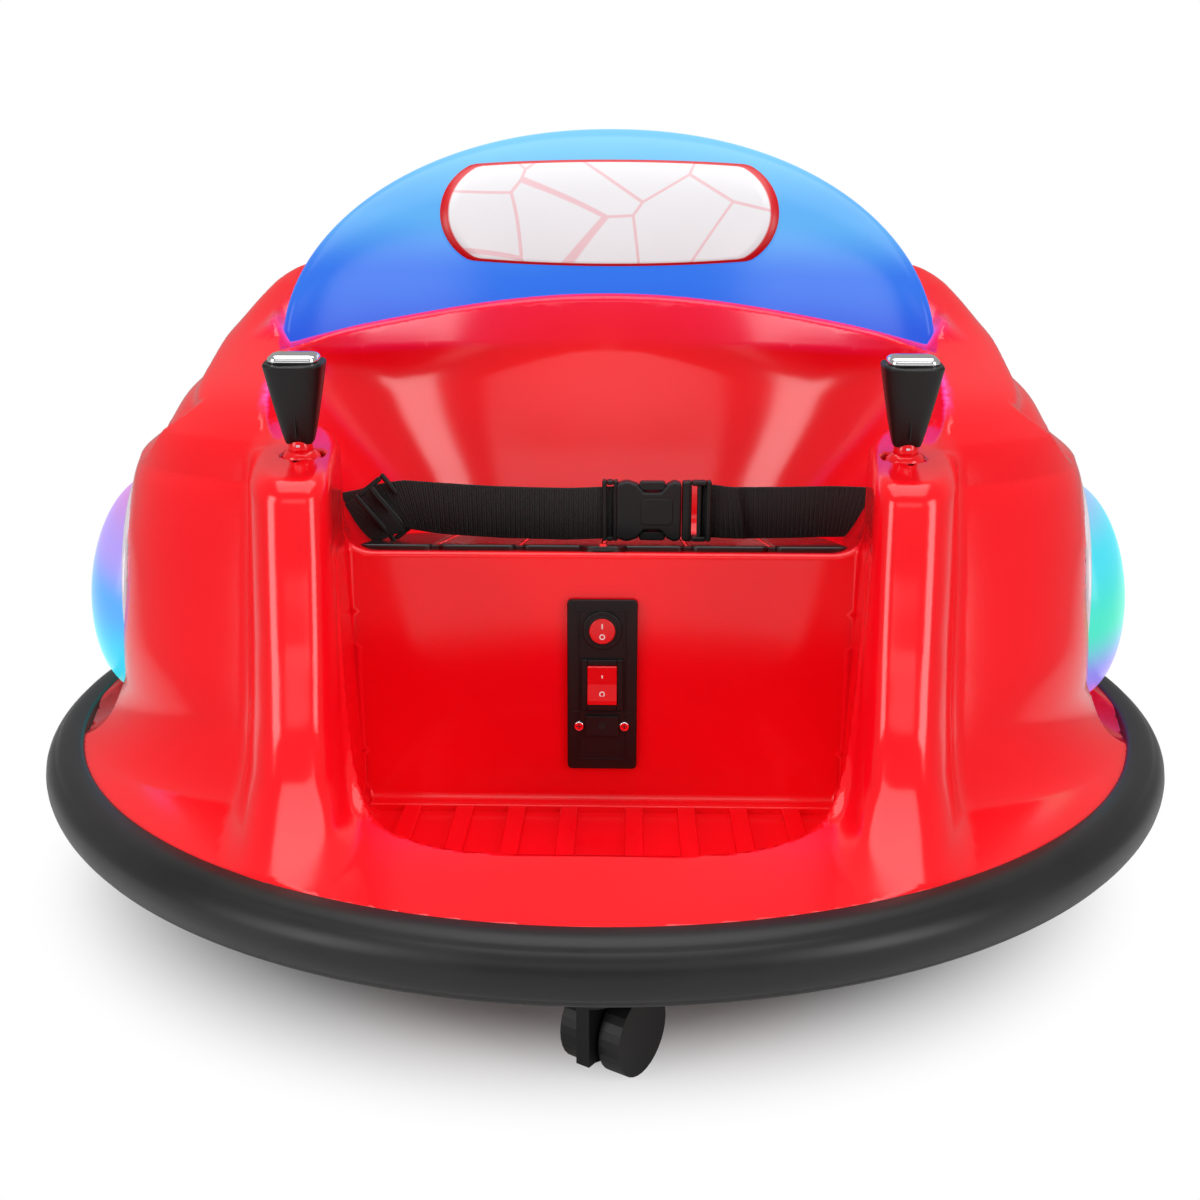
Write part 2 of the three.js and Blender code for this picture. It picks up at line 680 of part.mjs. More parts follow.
// ---- Castors ----
// Drawn with its swivel at the origin in plan and its wheels trailing towards -Y.
const castorFork = () => {
  const top = castorRoof - gap;
  const half = castor.web / 2;
  const [back, low] = [-castor.trail - castor.behind, castor.radius - castor.behind];
  const web = box(-half, half, back, castor.plate - 2, low, castorUnder + 1);
  const plate = cylinderZ(castor.plate, castorUnder, top, 0, 0, 24);
  const stem = cylinderZ(castor.stem, top - 1, castorTop - 2 * castor.cap, 0, 0, 20);
  const bore = cylinderX(castor.axle + gap, -castor.web, castor.web, -castor.trail, castor.radius, 20);
  return web.add(plate).add(stem).subtract(bore);
};

const castorWheels = () => {
  const inner = castor.web / 2 + castor.side;
  const outer = inner + castor.wheelWidth;
  let wheels = cylinderX(castor.axle, -inner - 1, inner + 1, -castor.trail, castor.radius, 20);
  for (const [x0, x1] of [[-outer, -inner], [inner, outer]]) {
    wheels = wheels.add(cylinderX(castor.radius, x0, x1, -castor.trail, castor.radius, 32));
  }
  return wheels;
};

// ---- Light dome, badge and side lamps ----
const domeShell = () => {
  const inside = domeSolid(-dome.wall);
  return domeSolid(0).subtract(inside).subtract(inside.translate([0, 0, -1]));
};

const badgeSolid = () => {
  const outline = roundedRectangle(badge.width, badge.height, badge.height / 2 - 0.5);
  const settings = { depth: flange.reach, bevelEnabled: false, curveSegments: 10 };
  const slab = new THREE.ExtrudeGeometry(outline, settings);
  const column = placed(slab.rotateX(Math.PI / 2), 0, dome.y - badge.ahead, badge.z);
  return domeSolid(gap + badge.thickness).subtract(domeSolid(gap)).intersect(column);
};

const lampRim = () => {
  const seat = lampFace + gap;
  const outer = ellipseX(lamp.halfLength, lamp.halfHeight, seat, seat + lamp.rimDepth);
  const [length, height] = [lamp.halfLength - lamp.rim, lamp.halfHeight - lamp.rim];
  return outer.subtract(ellipseX(length, height, 0, flange.half + lamp.bulge));
};

const lampLens = () => {
  const seat = lampFace + gap;
  const bulge = (grow) => {
    const size = [lamp.bulge, lamp.halfLength - lamp.rim - gap, lamp.halfHeight - lamp.rim - gap];
    const ball = new THREE.SphereGeometry(1, 24, 12).rotateX(Math.PI / 2);
    const inside = box(0, seat + Math.min(grow, 0), -flange.reach, flange.reach, 0, aboveAll);
    return placed(ball.scale(...size.map((half) => half + grow)), seat, lamp.y, lamp.z).subtract(inside);
  };
  return bulge(0).subtract(bulge(-lamp.wall));
};

// ---- Seat, controls and belt ----
const seatMat = () => {
  const half = seatHalf - mat.sideGap;
  let pad = seatBlock(-half, half, matFront, matFront + mat.depth, gap, mat.thickness + gap);
  for (const x of matSlots()) {
    const [y0, y1] = [matFront + mat.slotMargin, matFront + mat.depth - mat.slotMargin];
    pad = pad.subtract(seatBlock(x - mat.slot / 2, x + mat.slot / 2, y0, y1, -1, mat.thickness + 2));
  }
  const notch = cylinderZ(mat.notch, 0, aboveAll, 0, matFront, 24);
  return pad.subtract(notch).intersect(cockpit(-gap));
};

const plateFace = seat.front - gap - plate.thickness;
const faceplate = () => {
  const outline = roundedRectangle(plate.width, plate.height, plate.corner);
  const settings = { depth: plate.thickness, bevelEnabled: false, curveSegments: 4 };
  const slab = new THREE.ExtrudeGeometry(outline, settings);
  return placed(slab.rotateX(Math.PI / 2), 0, plateFace + plate.thickness, plate.z);
};
const roundRocker = () => {
  const { radius, button, z, height, bezel } = roundSwitch;
  const face = plateFace - gap;
  const actuator = cylinderY(button, face - height, face - bezel / 2, 0, z, 28);
  return cylinderY(radius, face - bezel, face, 0, z, 32).add(actuator);
};
// A block on the control plate, centred across it, from one depth in front of its face to another.
const onPlate = (width, height, z, depth, from = 0) => {
  const face = plateFace - gap;
  return box(-width / 2, width / 2, face - depth, face - from, z - height / 2, z + height / 2);
};
const squareRocker = () => {
  const { width, height, z, frame, depth, bezel } = squareSwitch;
  const actuator = onPlate(width - 2 * frame, height - 2 * frame, z, depth, bezel / 2);
  return onPlate(width, height, z, bezel).add(actuator);
};
const chargeFlap = () => {
  const { width, height, z, thickness } = chargeCover;
  return onPlate(width, height, z, thickness);
};

// The belt's centre line in plan.
const beltY = (x) => belt.y - belt.sag * (1 - (x / seatHalf) ** 2);
const buckleFront = beltY(buckle.x) - buckle.thickness / 2;
const buckleBottom = seatTop(buckleFront) + mat.thickness + gap + buckle.lift;
const beltBottom = buckleBottom + buckle.below;
const beltStrip = (grow, x0, x1) => {
  const steps = 14;
  const side = (offset) =>
    Array.from({ length: steps + 1 }, (_, i) => {
      const x = x0 + ((x1 - x0) * i) / steps;
      return new THREE.Vector2(x, beltY(x) + offset);
    });
  const half = belt.thickness / 2 + grow;
  const outline = new THREE.Shape([...side(-half), ...side(half).reverse()]);
  return prism(outline, beltBottom - grow, belt.width + 2 * grow);
};
const beltReach = seatHalf + belt.slotDepth + 8;
const buckleStart = buckle.x - buckle.length / 2;
const buckleSplit = buckleStart + buckle.socket;
const buckleEnd = buckle.x + buckle.length / 2;
const buckleBlock = (x0, x1) =>
  box(x0, x1, buckleFront, buckleFront + buckle.thickness, buckleBottom, buckleBottom + buckle.height);
// The ends of the two straps inside the buckle.
const rightEnd = buckleStart + buckle.grasp;
const leftEnd = buckleEnd - buckle.grasp;
const strapPocket = beltStrip(gap, buckleStart - overcut, rightEnd + 1).add(
  beltStrip(gap, leftEnd - 1, buckleEnd + overcut),
);
const adjusterSolid = () => {
  const [half, depth, tall] = [adjuster.width / 2, adjuster.thickness / 2, adjuster.height / 2];
  const x = adjuster.fromWall - seatHalf;
  const turn = Math.atan(beltY(x + 0.5) - beltY(x - 0.5));
  const block = box(-half, half, -depth, depth, -tall, tall).rotate([0, 0, THREE.MathUtils.radToDeg(turn)]);
  const loop = beltStrip(gap, x - adjuster.width, x + adjuster.width);
  return block.translate([x, beltY(x), beltBottom + belt.width / 2]).subtract(loop);
};

// ---- Joysticks ----
// Each stick is drawn upright about its ball's centre.
const stickBall = () => {
  const ball = placed(new THREE.SphereGeometry(stick.ball, 20, 10).rotateX(Math.PI / 2));
  const size = 2 * stick.ball;
  const lowerPart = box(-size, size, -size, size, -size, -stick.ball / 2);
  return ball.subtract(lowerPart).add(cylinderZ(stick.neck, 0, stick.gripFoot - gap, 0, 0, 16));
};
const stickGrip = () => {
  const ring = (z, half) => {
    const depth = half * grip.flat;
    return superellipse({ z, half, front: -depth, back: depth, centre: 0, power: 2.6 }, 16);
  };
  const [low, high] = [stick.gripFoot, stick.gripFoot + grip.height];
  return loft([
    ring(low, grip.bottom),
    ring(low + grip.height * 0.6, grip.top * 0.85),
    ring(high - 3, grip.top),
    ring(high, grip.top - 1.5),
  ]);
};
const stickKnob = () => {
  const z = stick.gripFoot + grip.height + gap;
  const profile = [
    [0, 0],
    [stickCap.radius - 0.6, 0],
    [stickCap.radius, 1],
    [stickCap.radius - 1, stickCap.edge],
    [stickCap.radius / 2, stickCap.height - 0.6],
    [0, stickCap.height],
  ].map(([x, y]) => new THREE.Vector2(x, y));
  return placed(new THREE.LatheGeometry(profile, 24).rotateX(Math.PI / 2), 0, 0, z);
};

// ---- Assembly ----
add('body_shell', bodyShell(), redPlastic);
add('floor_pan', floorPan(), blackPlastic);
add('bumper_ring', bumperRing(), bumperRubber);
add('light_dome', domeShell(), lensPlastic);
add('dome_badge', badgeSolid(), rimPlastic);
add('seat_mat', seatMat(), blackPlastic);
add('control_plate', faceplate(), blackPlastic);
add('round_switch', roundRocker(), switchRed);
add('square_switch', squareRocker(), switchRed);
add('charge_cover', chargeFlap(), blackPlastic);
add('belt_right', beltStrip(0, -beltReach, rightEnd), webbing);
add('belt_left', beltStrip(0, leftEnd, beltReach), webbing);
add('buckle_socket', buckleBlock(buckleStart, buckleSplit - gap).subtract(strapPocket), blackPlastic);
add('buckle_latch', buckleBlock(buckleSplit, buckleEnd).subtract(strapPocket), blackPlastic);
add('belt_adjuster', adjusterSolid(), blackPlastic);
add('battery', batteryBlock(), blackPlastic);

const setStick = (solid) => solid.rotate([stick.lean, 0, 0]).translate(stickPivot.toArray());
for (const { name, sign } of sides) {
  const put = (part, solid, material) => add(`${part}_${name}`, onSide(solid, sign), material);
  put('lamp_rim', lampRim(), rimPlastic);
  put('lamp_lens', lampLens(), lensPlastic);
  put('gearbox', gearboxCase(), blackPlastic);
  put('drive_axle', driveAxle(), steel);
  put('drive_hub', driveHub(), blackPlastic);
  put('drive_tyre', driveTyre(), bumperRubber);
  put('stick_ball', setStick(stickBall()), redPlastic);
  put('stick_grip', setStick(stickGrip()), blackPlastic);
  put('stick_cap', setStick(stickKnob()), chrome);
}

const castors = [
  { name: 'front', y: -castorY, turn: castorTurnFront },
  { name: 'rear', y: castorY, turn: castorTurnRear },
];
for (const { name, y, turn } of castors) {
  const set = (solid) => solid.rotate([0, 0, turn]).translate([0, y, 0]);
  add(`castor_fork_${name}`, set(castorFork()), blackPlastic);
  add(`castor_wheels_${name}`, set(castorWheels()), blackPlastic);
}

export default group;
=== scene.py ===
"""The looks of a child's electric bumper car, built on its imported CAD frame.

The red shell is meshed from a distance field, so that its mouldings meet in true fillets.
The field's sizes are in millimetres and the scene's are in metres.
"""
import json
import math

import bmesh
import bpy
import numpy as np
from mathutils import Matrix, Vector


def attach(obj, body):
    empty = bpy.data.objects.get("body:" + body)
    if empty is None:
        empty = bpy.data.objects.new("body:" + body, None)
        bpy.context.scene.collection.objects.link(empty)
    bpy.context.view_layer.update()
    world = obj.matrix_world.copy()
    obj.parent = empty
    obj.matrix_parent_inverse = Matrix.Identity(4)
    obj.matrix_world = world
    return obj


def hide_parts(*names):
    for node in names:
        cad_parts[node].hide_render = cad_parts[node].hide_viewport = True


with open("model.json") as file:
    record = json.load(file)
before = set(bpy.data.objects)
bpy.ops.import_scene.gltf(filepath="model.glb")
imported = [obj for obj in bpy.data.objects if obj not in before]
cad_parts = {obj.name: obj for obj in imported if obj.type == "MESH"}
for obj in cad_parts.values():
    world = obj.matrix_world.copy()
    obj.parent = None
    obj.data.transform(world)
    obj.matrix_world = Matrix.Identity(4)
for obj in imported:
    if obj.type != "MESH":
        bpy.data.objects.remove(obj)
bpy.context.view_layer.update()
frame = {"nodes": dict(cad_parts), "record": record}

MM = 0.001


# ---- Sizes of the moulded shell, in millimetres ----
EDGE_HALF, EDGE_REACH = 316.7, 344.8  # the flange's edge, under the ring: half its width and its length
FLANGE_BOTTOM, FLANGE_TOP = 86.3, 95.3
APRON_RISE = 0.15  # how fast the apron rises inwards from the flange
SHELL_TOP = 356.0

# z, half width, front, back, exponent, centre of the wall's plan
WALL = np.array(
    [
        (80, 294, -242, 310, 2.8, 0),
        (118, 293, -236, 308, 2.8, 0),
        (150, 292, -214, 302, 3.0, 0),
        (205, 290, -180, 292, 3.0, 0),
        (240, 285, -160, 284, 2.9, 0),
        (262, 279, -145, 278, 2.7, 20),
        (285, 272, -108, 270, 2.5, 40),
        (303, 255, -42, 267, 2.4, 60),
        (318, 243, 2, 263, 2.3, 75),
        (335, 232, 45, 257, 2.3, 92),
        (350, 219, 80, 249, 2.3, 110),
        (380, 200, 100, 240, 2.3, 120),
    ],
    float,
)
# z, half width, back and exponent of the bucket seat's plan
COCKPIT = np.array(
    [
        (150, 141.7, 50, 2.6),
        (205, 141.7, 62, 2.6),
        (230, 157.7, 71, 2.5),
        (257, 175.7, 79, 2.35),
        (290, 194.7, 89, 2.15),
        (318, 198.7, 97, 2.0),
        (345, 201.7, 107, 1.95),
        (400, 207.0, 125, 1.95),
    ],
    float,
)
COCKPIT_CENTRE = -40.0
COLLAR = 5.0  # the backrest's wall in front of the light dome
SEAT_FRONT, SEAT_HEIGHT, SEAT_SLOPE = -115.0, 205.0, 0.151
FOOTWELL = dict(floor=57.0, low=135.0, high=141.0, length=170.0, power=3.5, taper=0.0007, wall=5.0)
# z, half width, front of each armrest tower's plan
TOWER = np.array(
    [
        (84, 34, -330),
        (99, 30.5, -306),
        (105, 29, -285),
        (118, 27, -259),
        (140, 25.6, -239),
        (175, 25.2, -219),
        (215, 24.8, -204),
        (250, 24, -194),
        (275, 23, -186),
    ],
    float,
)
TOWER_X, TOWER_BACK, TOWER_TOP, TOWER_SLOPE = 157.5, -70.0, 256.0, 0.13
TOWER_TOP_Y = -190.0  # where the towers' sloping top is TOWER_TOP high
TOWER_SPLAY = 0.16  # how fast the towers spread apart towards the back
TOWER_SPLAY_Y = -165.0  # where a tower's middle is at TOWER_X
# The hollow behind the shoulder's front frame, along a line from (y, z) to (y, z) on the shell's side
SCOOP = dict(front=(-50.0, 265.0), back=(90.0, 288.0), half=20.0, widen=14.0, edge=15.0, depth=10.0)
DOME = dict(half=206.0, depth=67.0, height=146.3, base=300.0, y=170.0, bow=0.0032, power=2.1)
SEAM_CENTRE, SEAM_TIP, SEAM_TIP_X = 334.0, 306.0, 199.0
LAMP_TURN = math.radians(7.5)  # the side lamps face a little forwards
LAMP = dict(y=-2.0, z=160.0, length=88.0, height=76.0, face=283.7)
LAMP.update(border=7.0, bulge=38.0, droop=8.0, pocket=14.0)
TONGUE = dict(place=(300.0, -70.0, 102.0), half=(15.0, 44.0, 13.0))  # the hollow below each lamp
STICK_X, STICK_Y, STICK_SINK, STICK_SOCKET = 157.5, -140.0, 7.0, 12.2
WHEEL_SPACE = dict(wall=14.0, top=168.0)  # the shell's wall there, and how high it is hollow


# ---- Distance fields ----
Z_TABLE = np.arange(40.0, 420.0)


def smooth_columns(stations, sigma):
    """Each column of a station table against Z_TABLE, with its corners eased."""
    reach = int(3 * sigma)
    kernel = np.exp(-0.5 * (np.arange(-reach, reach + 1) / sigma) ** 2)
    kernel /= kernel.sum()
    out = []
    for column in stations[:, 1:].T:
        raw = np.interp(Z_TABLE, stations[:, 0], column)
        out.append(np.convolve(np.pad(raw, reach, mode="edge"), kernel, "valid"))
    return out


WALL_T = smooth_columns(WALL, 6)
COCKPIT_T = smooth_columns(COCKPIT, 7)
TOWER_T = smooth_columns(TOWER, 5)


def at(z, table):
    return [np.interp(z, Z_TABLE, column) for column in table]


def meet_round(a, b, r):
    """Intersection with a fillet of radius r."""
    return np.minimum(-r, np.maximum(a, b)) + np.hypot(np.maximum(r + a, 0), np.maximum(r + b, 0))


def join_round(a, b, r):
    """Union with a fillet of radius r."""
    return np.maximum(r, np.minimum(a, b)) - np.hypot(np.maximum(r - a, 0), np.maximum(r - b, 0))


def cut_round(a, b, r):
    return meet_round(a, -b, r)


def unit_field(f, x, y, z, scale):
    """A field divided by its slope, so that it measures distance near its surface."""
    step = 1.0
    here = f(x, y, z)
    gx = (f(x + step, y, z) - here) / step
    gy = (f(x, y + step, z) - here) / step
    gz = (f(x, y, z + step) - here) / step
    slope = np.sqrt(gx * gx + gy * gy + gz * gz)
    return here / np.maximum(slope, 0.25 / scale)


def ease(value, low, high):
    """0 up to low and 1 from high, with a smooth step between them."""
    t = np.clip((value - low) / (high - low), 0, 1)
    return t * t * (3 - 2 * t)


def oval(x, y, half, front, back, centre, power, front_power):
    """A rounded plan about (0, centre): below 0 inside, 0 on its outline."""
    reach = np.where(y > centre, back - centre, centre - front)
    power = np.where(y > centre, power, front_power)
    return (np.abs(x / half) ** power + np.abs((y - centre) / reach) ** power) ** (1 / power) - 1


def wall_level(x, y, z):
    """The outer wall, whose front is rounder than its back below the shoulders."""
    half, front, back, power, centre = at(z, WALL_T)
    rounder = 0.5 * np.clip((265 - z) / 20, 0, 1)
    return oval(x, y, half, front, back, centre, power, power - rounder)


def edge_level(x, y, z):
    return np.hypot(x / EDGE_HALF, y / EDGE_REACH) - 1


def cockpit_level(x, y, z):
    half, back, power = at(z, COCKPIT_T)
    reach = back - COCKPIT_CENTRE
    v = np.maximum(y - COCKPIT_CENTRE, 0) / reach
    return (np.abs(x / half) ** power + v**power) ** (1 / power) - 1


def leg_level(x, y, z):
    rise = np.clip((z - FOOTWELL["floor"]) / (SEAT_HEIGHT - FOOTWELL["floor"]), 0, 1)
    half = FOOTWELL["low"] + (FOOTWELL["high"] - FOOTWELL["low"]) * rise
    half = half * (1 - FOOTWELL["taper"] * np.maximum(SEAT_FRONT - y, 0))
    v = np.maximum(SEAT_FRONT - y, 0) / FOOTWELL["length"]
    p = FOOTWELL["power"]
    return (np.abs(x / half) ** p + v**p) ** (1 / p) - 1


def tower_level(x, y, z):
    half, front = at(z, TOWER_T)
    middle = TOWER_X + TOWER_SPLAY * (y - TOWER_SPLAY_Y)
    power = 3.0
    return oval(x - middle, y, half, front, TOWER_BACK, 0.5 * (front + TOWER_BACK), power, power)


def dome_level(x, y, z):
    p = DOME["power"]
    u = np.abs(x / DOME["half"]) ** p
    v = np.abs((y - dome_middle(x)) / DOME["depth"]) ** p
    w = np.abs((z - DOME["base"]) / DOME["height"]) ** p
    return (u + v + w) ** (1 / p) - 1


def dome_wall(x, y, z):
    """The dome, drawn straight down below its foot."""
    return dome_level(x, y, np.maximum(z, DOME["base"]))


def dome_middle(x):
    """The y of the dome's middle line, which bows forwards at the sides."""
    return DOME["y"] - DOME["bow"] * x * x


def seam_height(x):
    """The height of the seam between the backrest's top edge and the dome."""
    return SEAM_CENTRE - (SEAM_CENTRE - SEAM_TIP) * (x / SEAM_TIP_X) ** 2


def seat_top(y):
    return SEAT_HEIGHT - SEAT_SLOPE * (y - SEAT_FRONT)


def tower_top(y):
    return TOWER_TOP + TOWER_SLOPE * (y - TOWER_TOP_Y)


def lamp_turned(along, out):
    """Distances along the car and out from it, turned into the side lamp's own."""
    c, s = math.cos(LAMP_TURN), math.sin(LAMP_TURN)
    return along * c + out * s, out * c - along * s


def scoop(x, y, z):
    """How deep the hollow behind the shoulder's front frame is cut."""
    (front_y, front_z), (back_y, back_z) = SCOOP["front"], SCOOP["back"]
    run_y, run_z = back_y - front_y, back_z - front_z
    along = ((y - front_y) * run_y + (z - front_z) * run_z) / (run_y**2 + run_z**2)
    along = np.clip(along, 0, 1.6)
    away = np.hypot(y - front_y - along * run_y, z - front_z - along * run_z)
    half = SCOOP["half"] + SCOOP["widen"] * np.clip(along, 0, 1)
    fade = 1 - ease(y, 30, 160)
    side = np.clip((x - 150) / 40, 0, 1)
    return SCOOP["depth"] * ease(half - away, 0, SCOOP["edge"]) * fade * side


def wall_and_apron(wall, edge, z):
    """The wall up to the shell's top, and the apron that flares out from it to the flange."""
    apron = z - (FLANGE_TOP + APRON_RISE * np.clip(-edge, 0, 120))
    return join_round(meet_round(wall, z - SHELL_TOP, 14), apron, 26)


def bucket_seat(x, y, z):
    cockpit = unit_field(cockpit_level, x, y, z, 150)
    return meet_round(cockpit, seat_top(y) - z, 16)


def armrest_tower(x, y, z, leg):
    tower = unit_field(tower_level, x, y, z, 25)
    return cut_round(meet_round(tower, z - tower_top(y), 9), leg, 5)


def add_footwell(body, leg, y, z):
    """Cuts the footwell, whose tub hangs below the flange."""
    floor, wall, behind = FOOTWELL["floor"], FOOTWELL["wall"], y - SEAT_FRONT
    well = meet_round(np.maximum(leg, behind), floor - z, 9)
    tub = meet_round(leg - wall, floor - wall - z, 9)
    tub = np.maximum(tub, np.maximum(behind - wall, z - 94))
    return cut_round(np.minimum(body, tub), well, 3.5)


def add_dome_seat(body, x, y, z):
    """Cuts down to the dome's seam, and fills the collar that the dome sits in."""
    seam = np.maximum(seam_height(x), SEAM_TIP + 1.5 * (x - SEAM_TIP_X))
    front = np.minimum(y - dome_middle(x), y - 20 - 1.6 * (z - SEAM_TIP))
    body = cut_round(body, meet_round(front, seam - z, 2), 2.5)
    deeper = 16 * np.clip((DOME["base"] + 4 - z) / 70, 0, 1)
    sides = unit_field(dome_wall, x, y, z, 70) - COLLAR + deeper
    return join_round(body, meet_round(sides, z - seam, 3), 8)


def cut_lamp_pocket(body, x, y, z):
    """Cuts the side lamp's pocket and the hollow below it."""
    along, out = lamp_turned(y - LAMP["y"], x - LAMP["face"])
    level = np.hypot(along / (LAMP["length"] + 1), (z - LAMP["z"]) / (LAMP["height"] + 1)) - 1
    pocket = np.maximum(level * (LAMP["height"] + 2), np.maximum(-out, out - LAMP["pocket"]))
    body = cut_round(body, pocket, 1.2)
    (cx, cy, cz), (half_x, half_y, half_z) = TONGUE["place"], TONGUE["half"]
    level = np.sqrt(((x - cx) / half_x) ** 2 + ((y - cy) / half_y) ** 2 + ((z - cz) / half_z) ** 2) - 1
    return cut_round(body, level * half_z, 2)


def stick_socket(x, y, z):
    middle = tower_top(STICK_Y) - STICK_SINK
    return np.sqrt((x - STICK_X) ** 2 + (y - STICK_Y) ** 2 + (z - middle) ** 2) - STICK_SOCKET


def wheel_space(wall, leg, z):
    """The space under the seat for the wheels and the drive, kept clear of the footwell's tub."""
    thick = WHEEL_SPACE["wall"]
    return np.maximum(np.maximum(wall + thick, z - WHEEL_SPACE["top"]), thick - leg)


def shell_field(x, y, z):
    """The whole shell: what is joined to its wall and cut from it, one after another."""
    x = np.abs(x)
    wall = unit_field(wall_level, x, y, z, 250) + scoop(x, y, z)
    edge = unit_field(edge_level, x, y, z, 300)
    leg = unit_field(leg_level, x, y, z, 140)
    body = wall_and_apron(wall, edge, z)
    body = cut_round(body, bucket_seat(x, y, z), 3)
    body = join_round(body, armrest_tower(x, y, z, leg), 6)
    body = meet_round(body, edge, 3)
    body = np.maximum(body, FLANGE_BOTTOM - z)
    body = add_footwell(body, leg, y, z)
    body = add_dome_seat(body, x, y, z)
    body = cut_lamp_pocket(body, x, y, z)
    body = cut_round(body, stick_socket(x, y, z), 0.8)
    return np.maximum(body, -wheel_space(wall, leg, z))


def surface_net(field, low, high, step):
    """Vertices and quads of a field's zero surface, symmetrical about x = 0."""
    xs = np.arange(0, high[0] + step, step)
    ys = np.arange(low[1], high[1] + step, step)
    zs = np.arange(low[2], high[2] + step, step)
    half = np.empty((len(xs), len(ys), len(zs)), np.float32)
    for i, x in enumerate(xs):
        y, z = np.meshgrid(ys, zs, indexing="ij")
        half[i] = field(np.full_like(y, x), y, z)
    values = np.concatenate([half[:0:-1], half])
    xs = np.concatenate([-xs[:0:-1], xs])
    inside = values < 0
    cells = tuple(n - 1 for n in values.shape)
    corners = [(i, j, k) for i in (0, 1) for j in (0, 1) for k in (0, 1)]
    count = np.zeros(cells, np.int8)
    for i, j, k in corners:
        count += inside[i : cells[0] + i, j : cells[1] + j, k : cells[2] + k]
    active = (count > 0) & (count < 8)
    index = np.full(cells, -1, np.int64)
    index[active] = np.arange(active.sum())
    cell = np.argwhere(active)
    total, weight = np.zeros((len(cell), 3)), np.zeros(len(cell))
    for a in corners:
        for axis in range(3):
            if a[axis]:
                continue
            b = list(a)
            b[axis] = 1
            fa = values[tuple((cell + a).T)]
            fb = values[tuple((cell + b).T)]
            crosses = (fa < 0) != (fb < 0)
            t = np.where(crosses, fa / np.where(fa == fb, 1, fa - fb), 0)
            point = cell + a + 0.0
            point[:, axis] += t
            total[crosses] += point[crosses]
            weight[crosses] += 1
    grid = total / weight[:, None]
    origin = np.array([xs[0], ys[0], zs[0]])
    vertices = origin + grid * step
    quads = []
    for axis in range(3):
        n = list(values.shape)
        n[axis] -= 1
        first = inside[tuple(slice(0, m) for m in n)]
        shifted = [slice(None)] * 3
        shifted[axis] = slice(1, None)
        second = inside[tuple(shifted)]
        edge = np.argwhere(first != second)
        u, v = [(1, 2), (2, 0), (0, 1)][axis]
        not_low = (edge[:, u] > 0) & (edge[:, v] > 0)
        not_high = (edge[:, u] < cells[u]) & (edge[:, v] < cells[v])
        edge = edge[not_low & not_high]
        du, dv = np.eye(3, dtype=int)[u], np.eye(3, dtype=int)[v]
        ring = [index[tuple((edge - s).T)] for s in (du * 0, du, du + dv, dv)]
        quad = np.stack(ring, 1)
        leaving = first[tuple(edge.T)]
        quad[~leaving] = quad[~leaving][:, ::-1]
        quads.append(quad)
    return vertices, np.concatenate(quads)


def gradient(field, p, step=0.4):
    grads = []
    for axis in range(3):
        d = np.zeros(3)
        d[axis] = step
        grads.append((field(*(p + d).T) - field(*(p - d).T)) / (2 * step))
    return np.stack(grads, 1)


def settle(field, p, rounds=3, limit=1.5):
    """Moves points onto the field's surface and gives their normals."""
    for _ in range(rounds):
        g = gradient(field, p)
        length = np.maximum(np.linalg.norm(g, axis=1), 0.2)
        move = field(*p.T) / length
        p = p - g / length[:, None] * np.clip(move, -limit, limit)[:, None]
    g = gradient(field, p)
    return p, g / np.maximum(np.linalg.norm(g, axis=1), 1e-6)[:, None]


def field_mesh(name, field, low, high, step, keep_ratio):
    vertices, quads = surface_net(field, low, high, step)
    vertices, _ = settle(field, vertices, 2)
    mesh = bpy.data.meshes.new(name)
    mesh.from_pydata((vertices * MM).tolist(), [], quads.tolist())
    piece = bpy.data.objects.new(name, mesh)
    bpy.context.scene.collection.objects.link(piece)
    if keep_ratio < 1:
        modifier = piece.modifiers.new("thin_out", "DECIMATE")
        modifier.ratio = keep_ratio
        depsgraph = bpy.context.evaluated_depsgraph_get()
        thinned = bpy.data.meshes.new_from_object(piece.evaluated_get(depsgraph))
        piece.modifiers.clear()
        piece.data = thinned
        mesh = thinned
    co = np.empty(len(mesh.vertices) * 3)
    mesh.vertices.foreach_get("co", co)
    p, normals = settle(field, co.reshape(-1, 3) / MM, 2, 0.6)
    mesh.vertices.foreach_set("co", (p * MM).ravel())
    mesh.polygons.foreach_set("use_smooth", [True] * len(mesh.polygons))
    mesh.update()
    mesh.normals_split_custom_set_from_vertices(normals.tolist())
    return piece, p


# ---- Materials ----
def grey(level):
    return (level, level, level)


def warm_grey(level):
    """A grey with a trace less blue."""
    return (level, 0.96 * level, 0.95 * level)


def set_inputs(tree, node, inputs):
    """Sets a node's inputs, by name or number, to values or joins them to other sockets."""
    for key, value in inputs.items():
        socket = node.inputs[key]
        if isinstance(value, bpy.types.NodeSocket):
            tree.links.new(value, socket)
        elif socket.type == "RGBA":
            socket.default_value = (*value, 1)
        else:
            socket.default_value = value


def new_node(tree, kind, inputs, **settings):
    node = tree.nodes.new("ShaderNode" + kind)
    for name, value in settings.items():
        setattr(node, name, value)
    set_inputs(tree, node, inputs)
    return node


def new_material(name):
    material = bpy.data.materials.new(name)
    material.use_nodes = True
    tree = material.node_tree
    return material, tree, tree.nodes["Principled BSDF"]


def own_place(tree):
    """The object's own coordinates."""
    return new_node(tree, "TexCoord", {}).outputs["Object"]


def add_noise(tree, scale, detail=4.0):
    inputs = {"Vector": own_place(tree), "Scale": scale, "Detail": detail}
    return new_node(tree, "TexNoise", inputs).outputs["Fac"]


def spread(tree, value, low, high, near=0.3, far=0.7):
    """A value between near and far mapped onto another range."""
    inputs = {"Value": value, "From Min": near, "From Max": far, "To Min": low, "To Max": high}
    return new_node(tree, "MapRange", inputs).outputs["Result"]


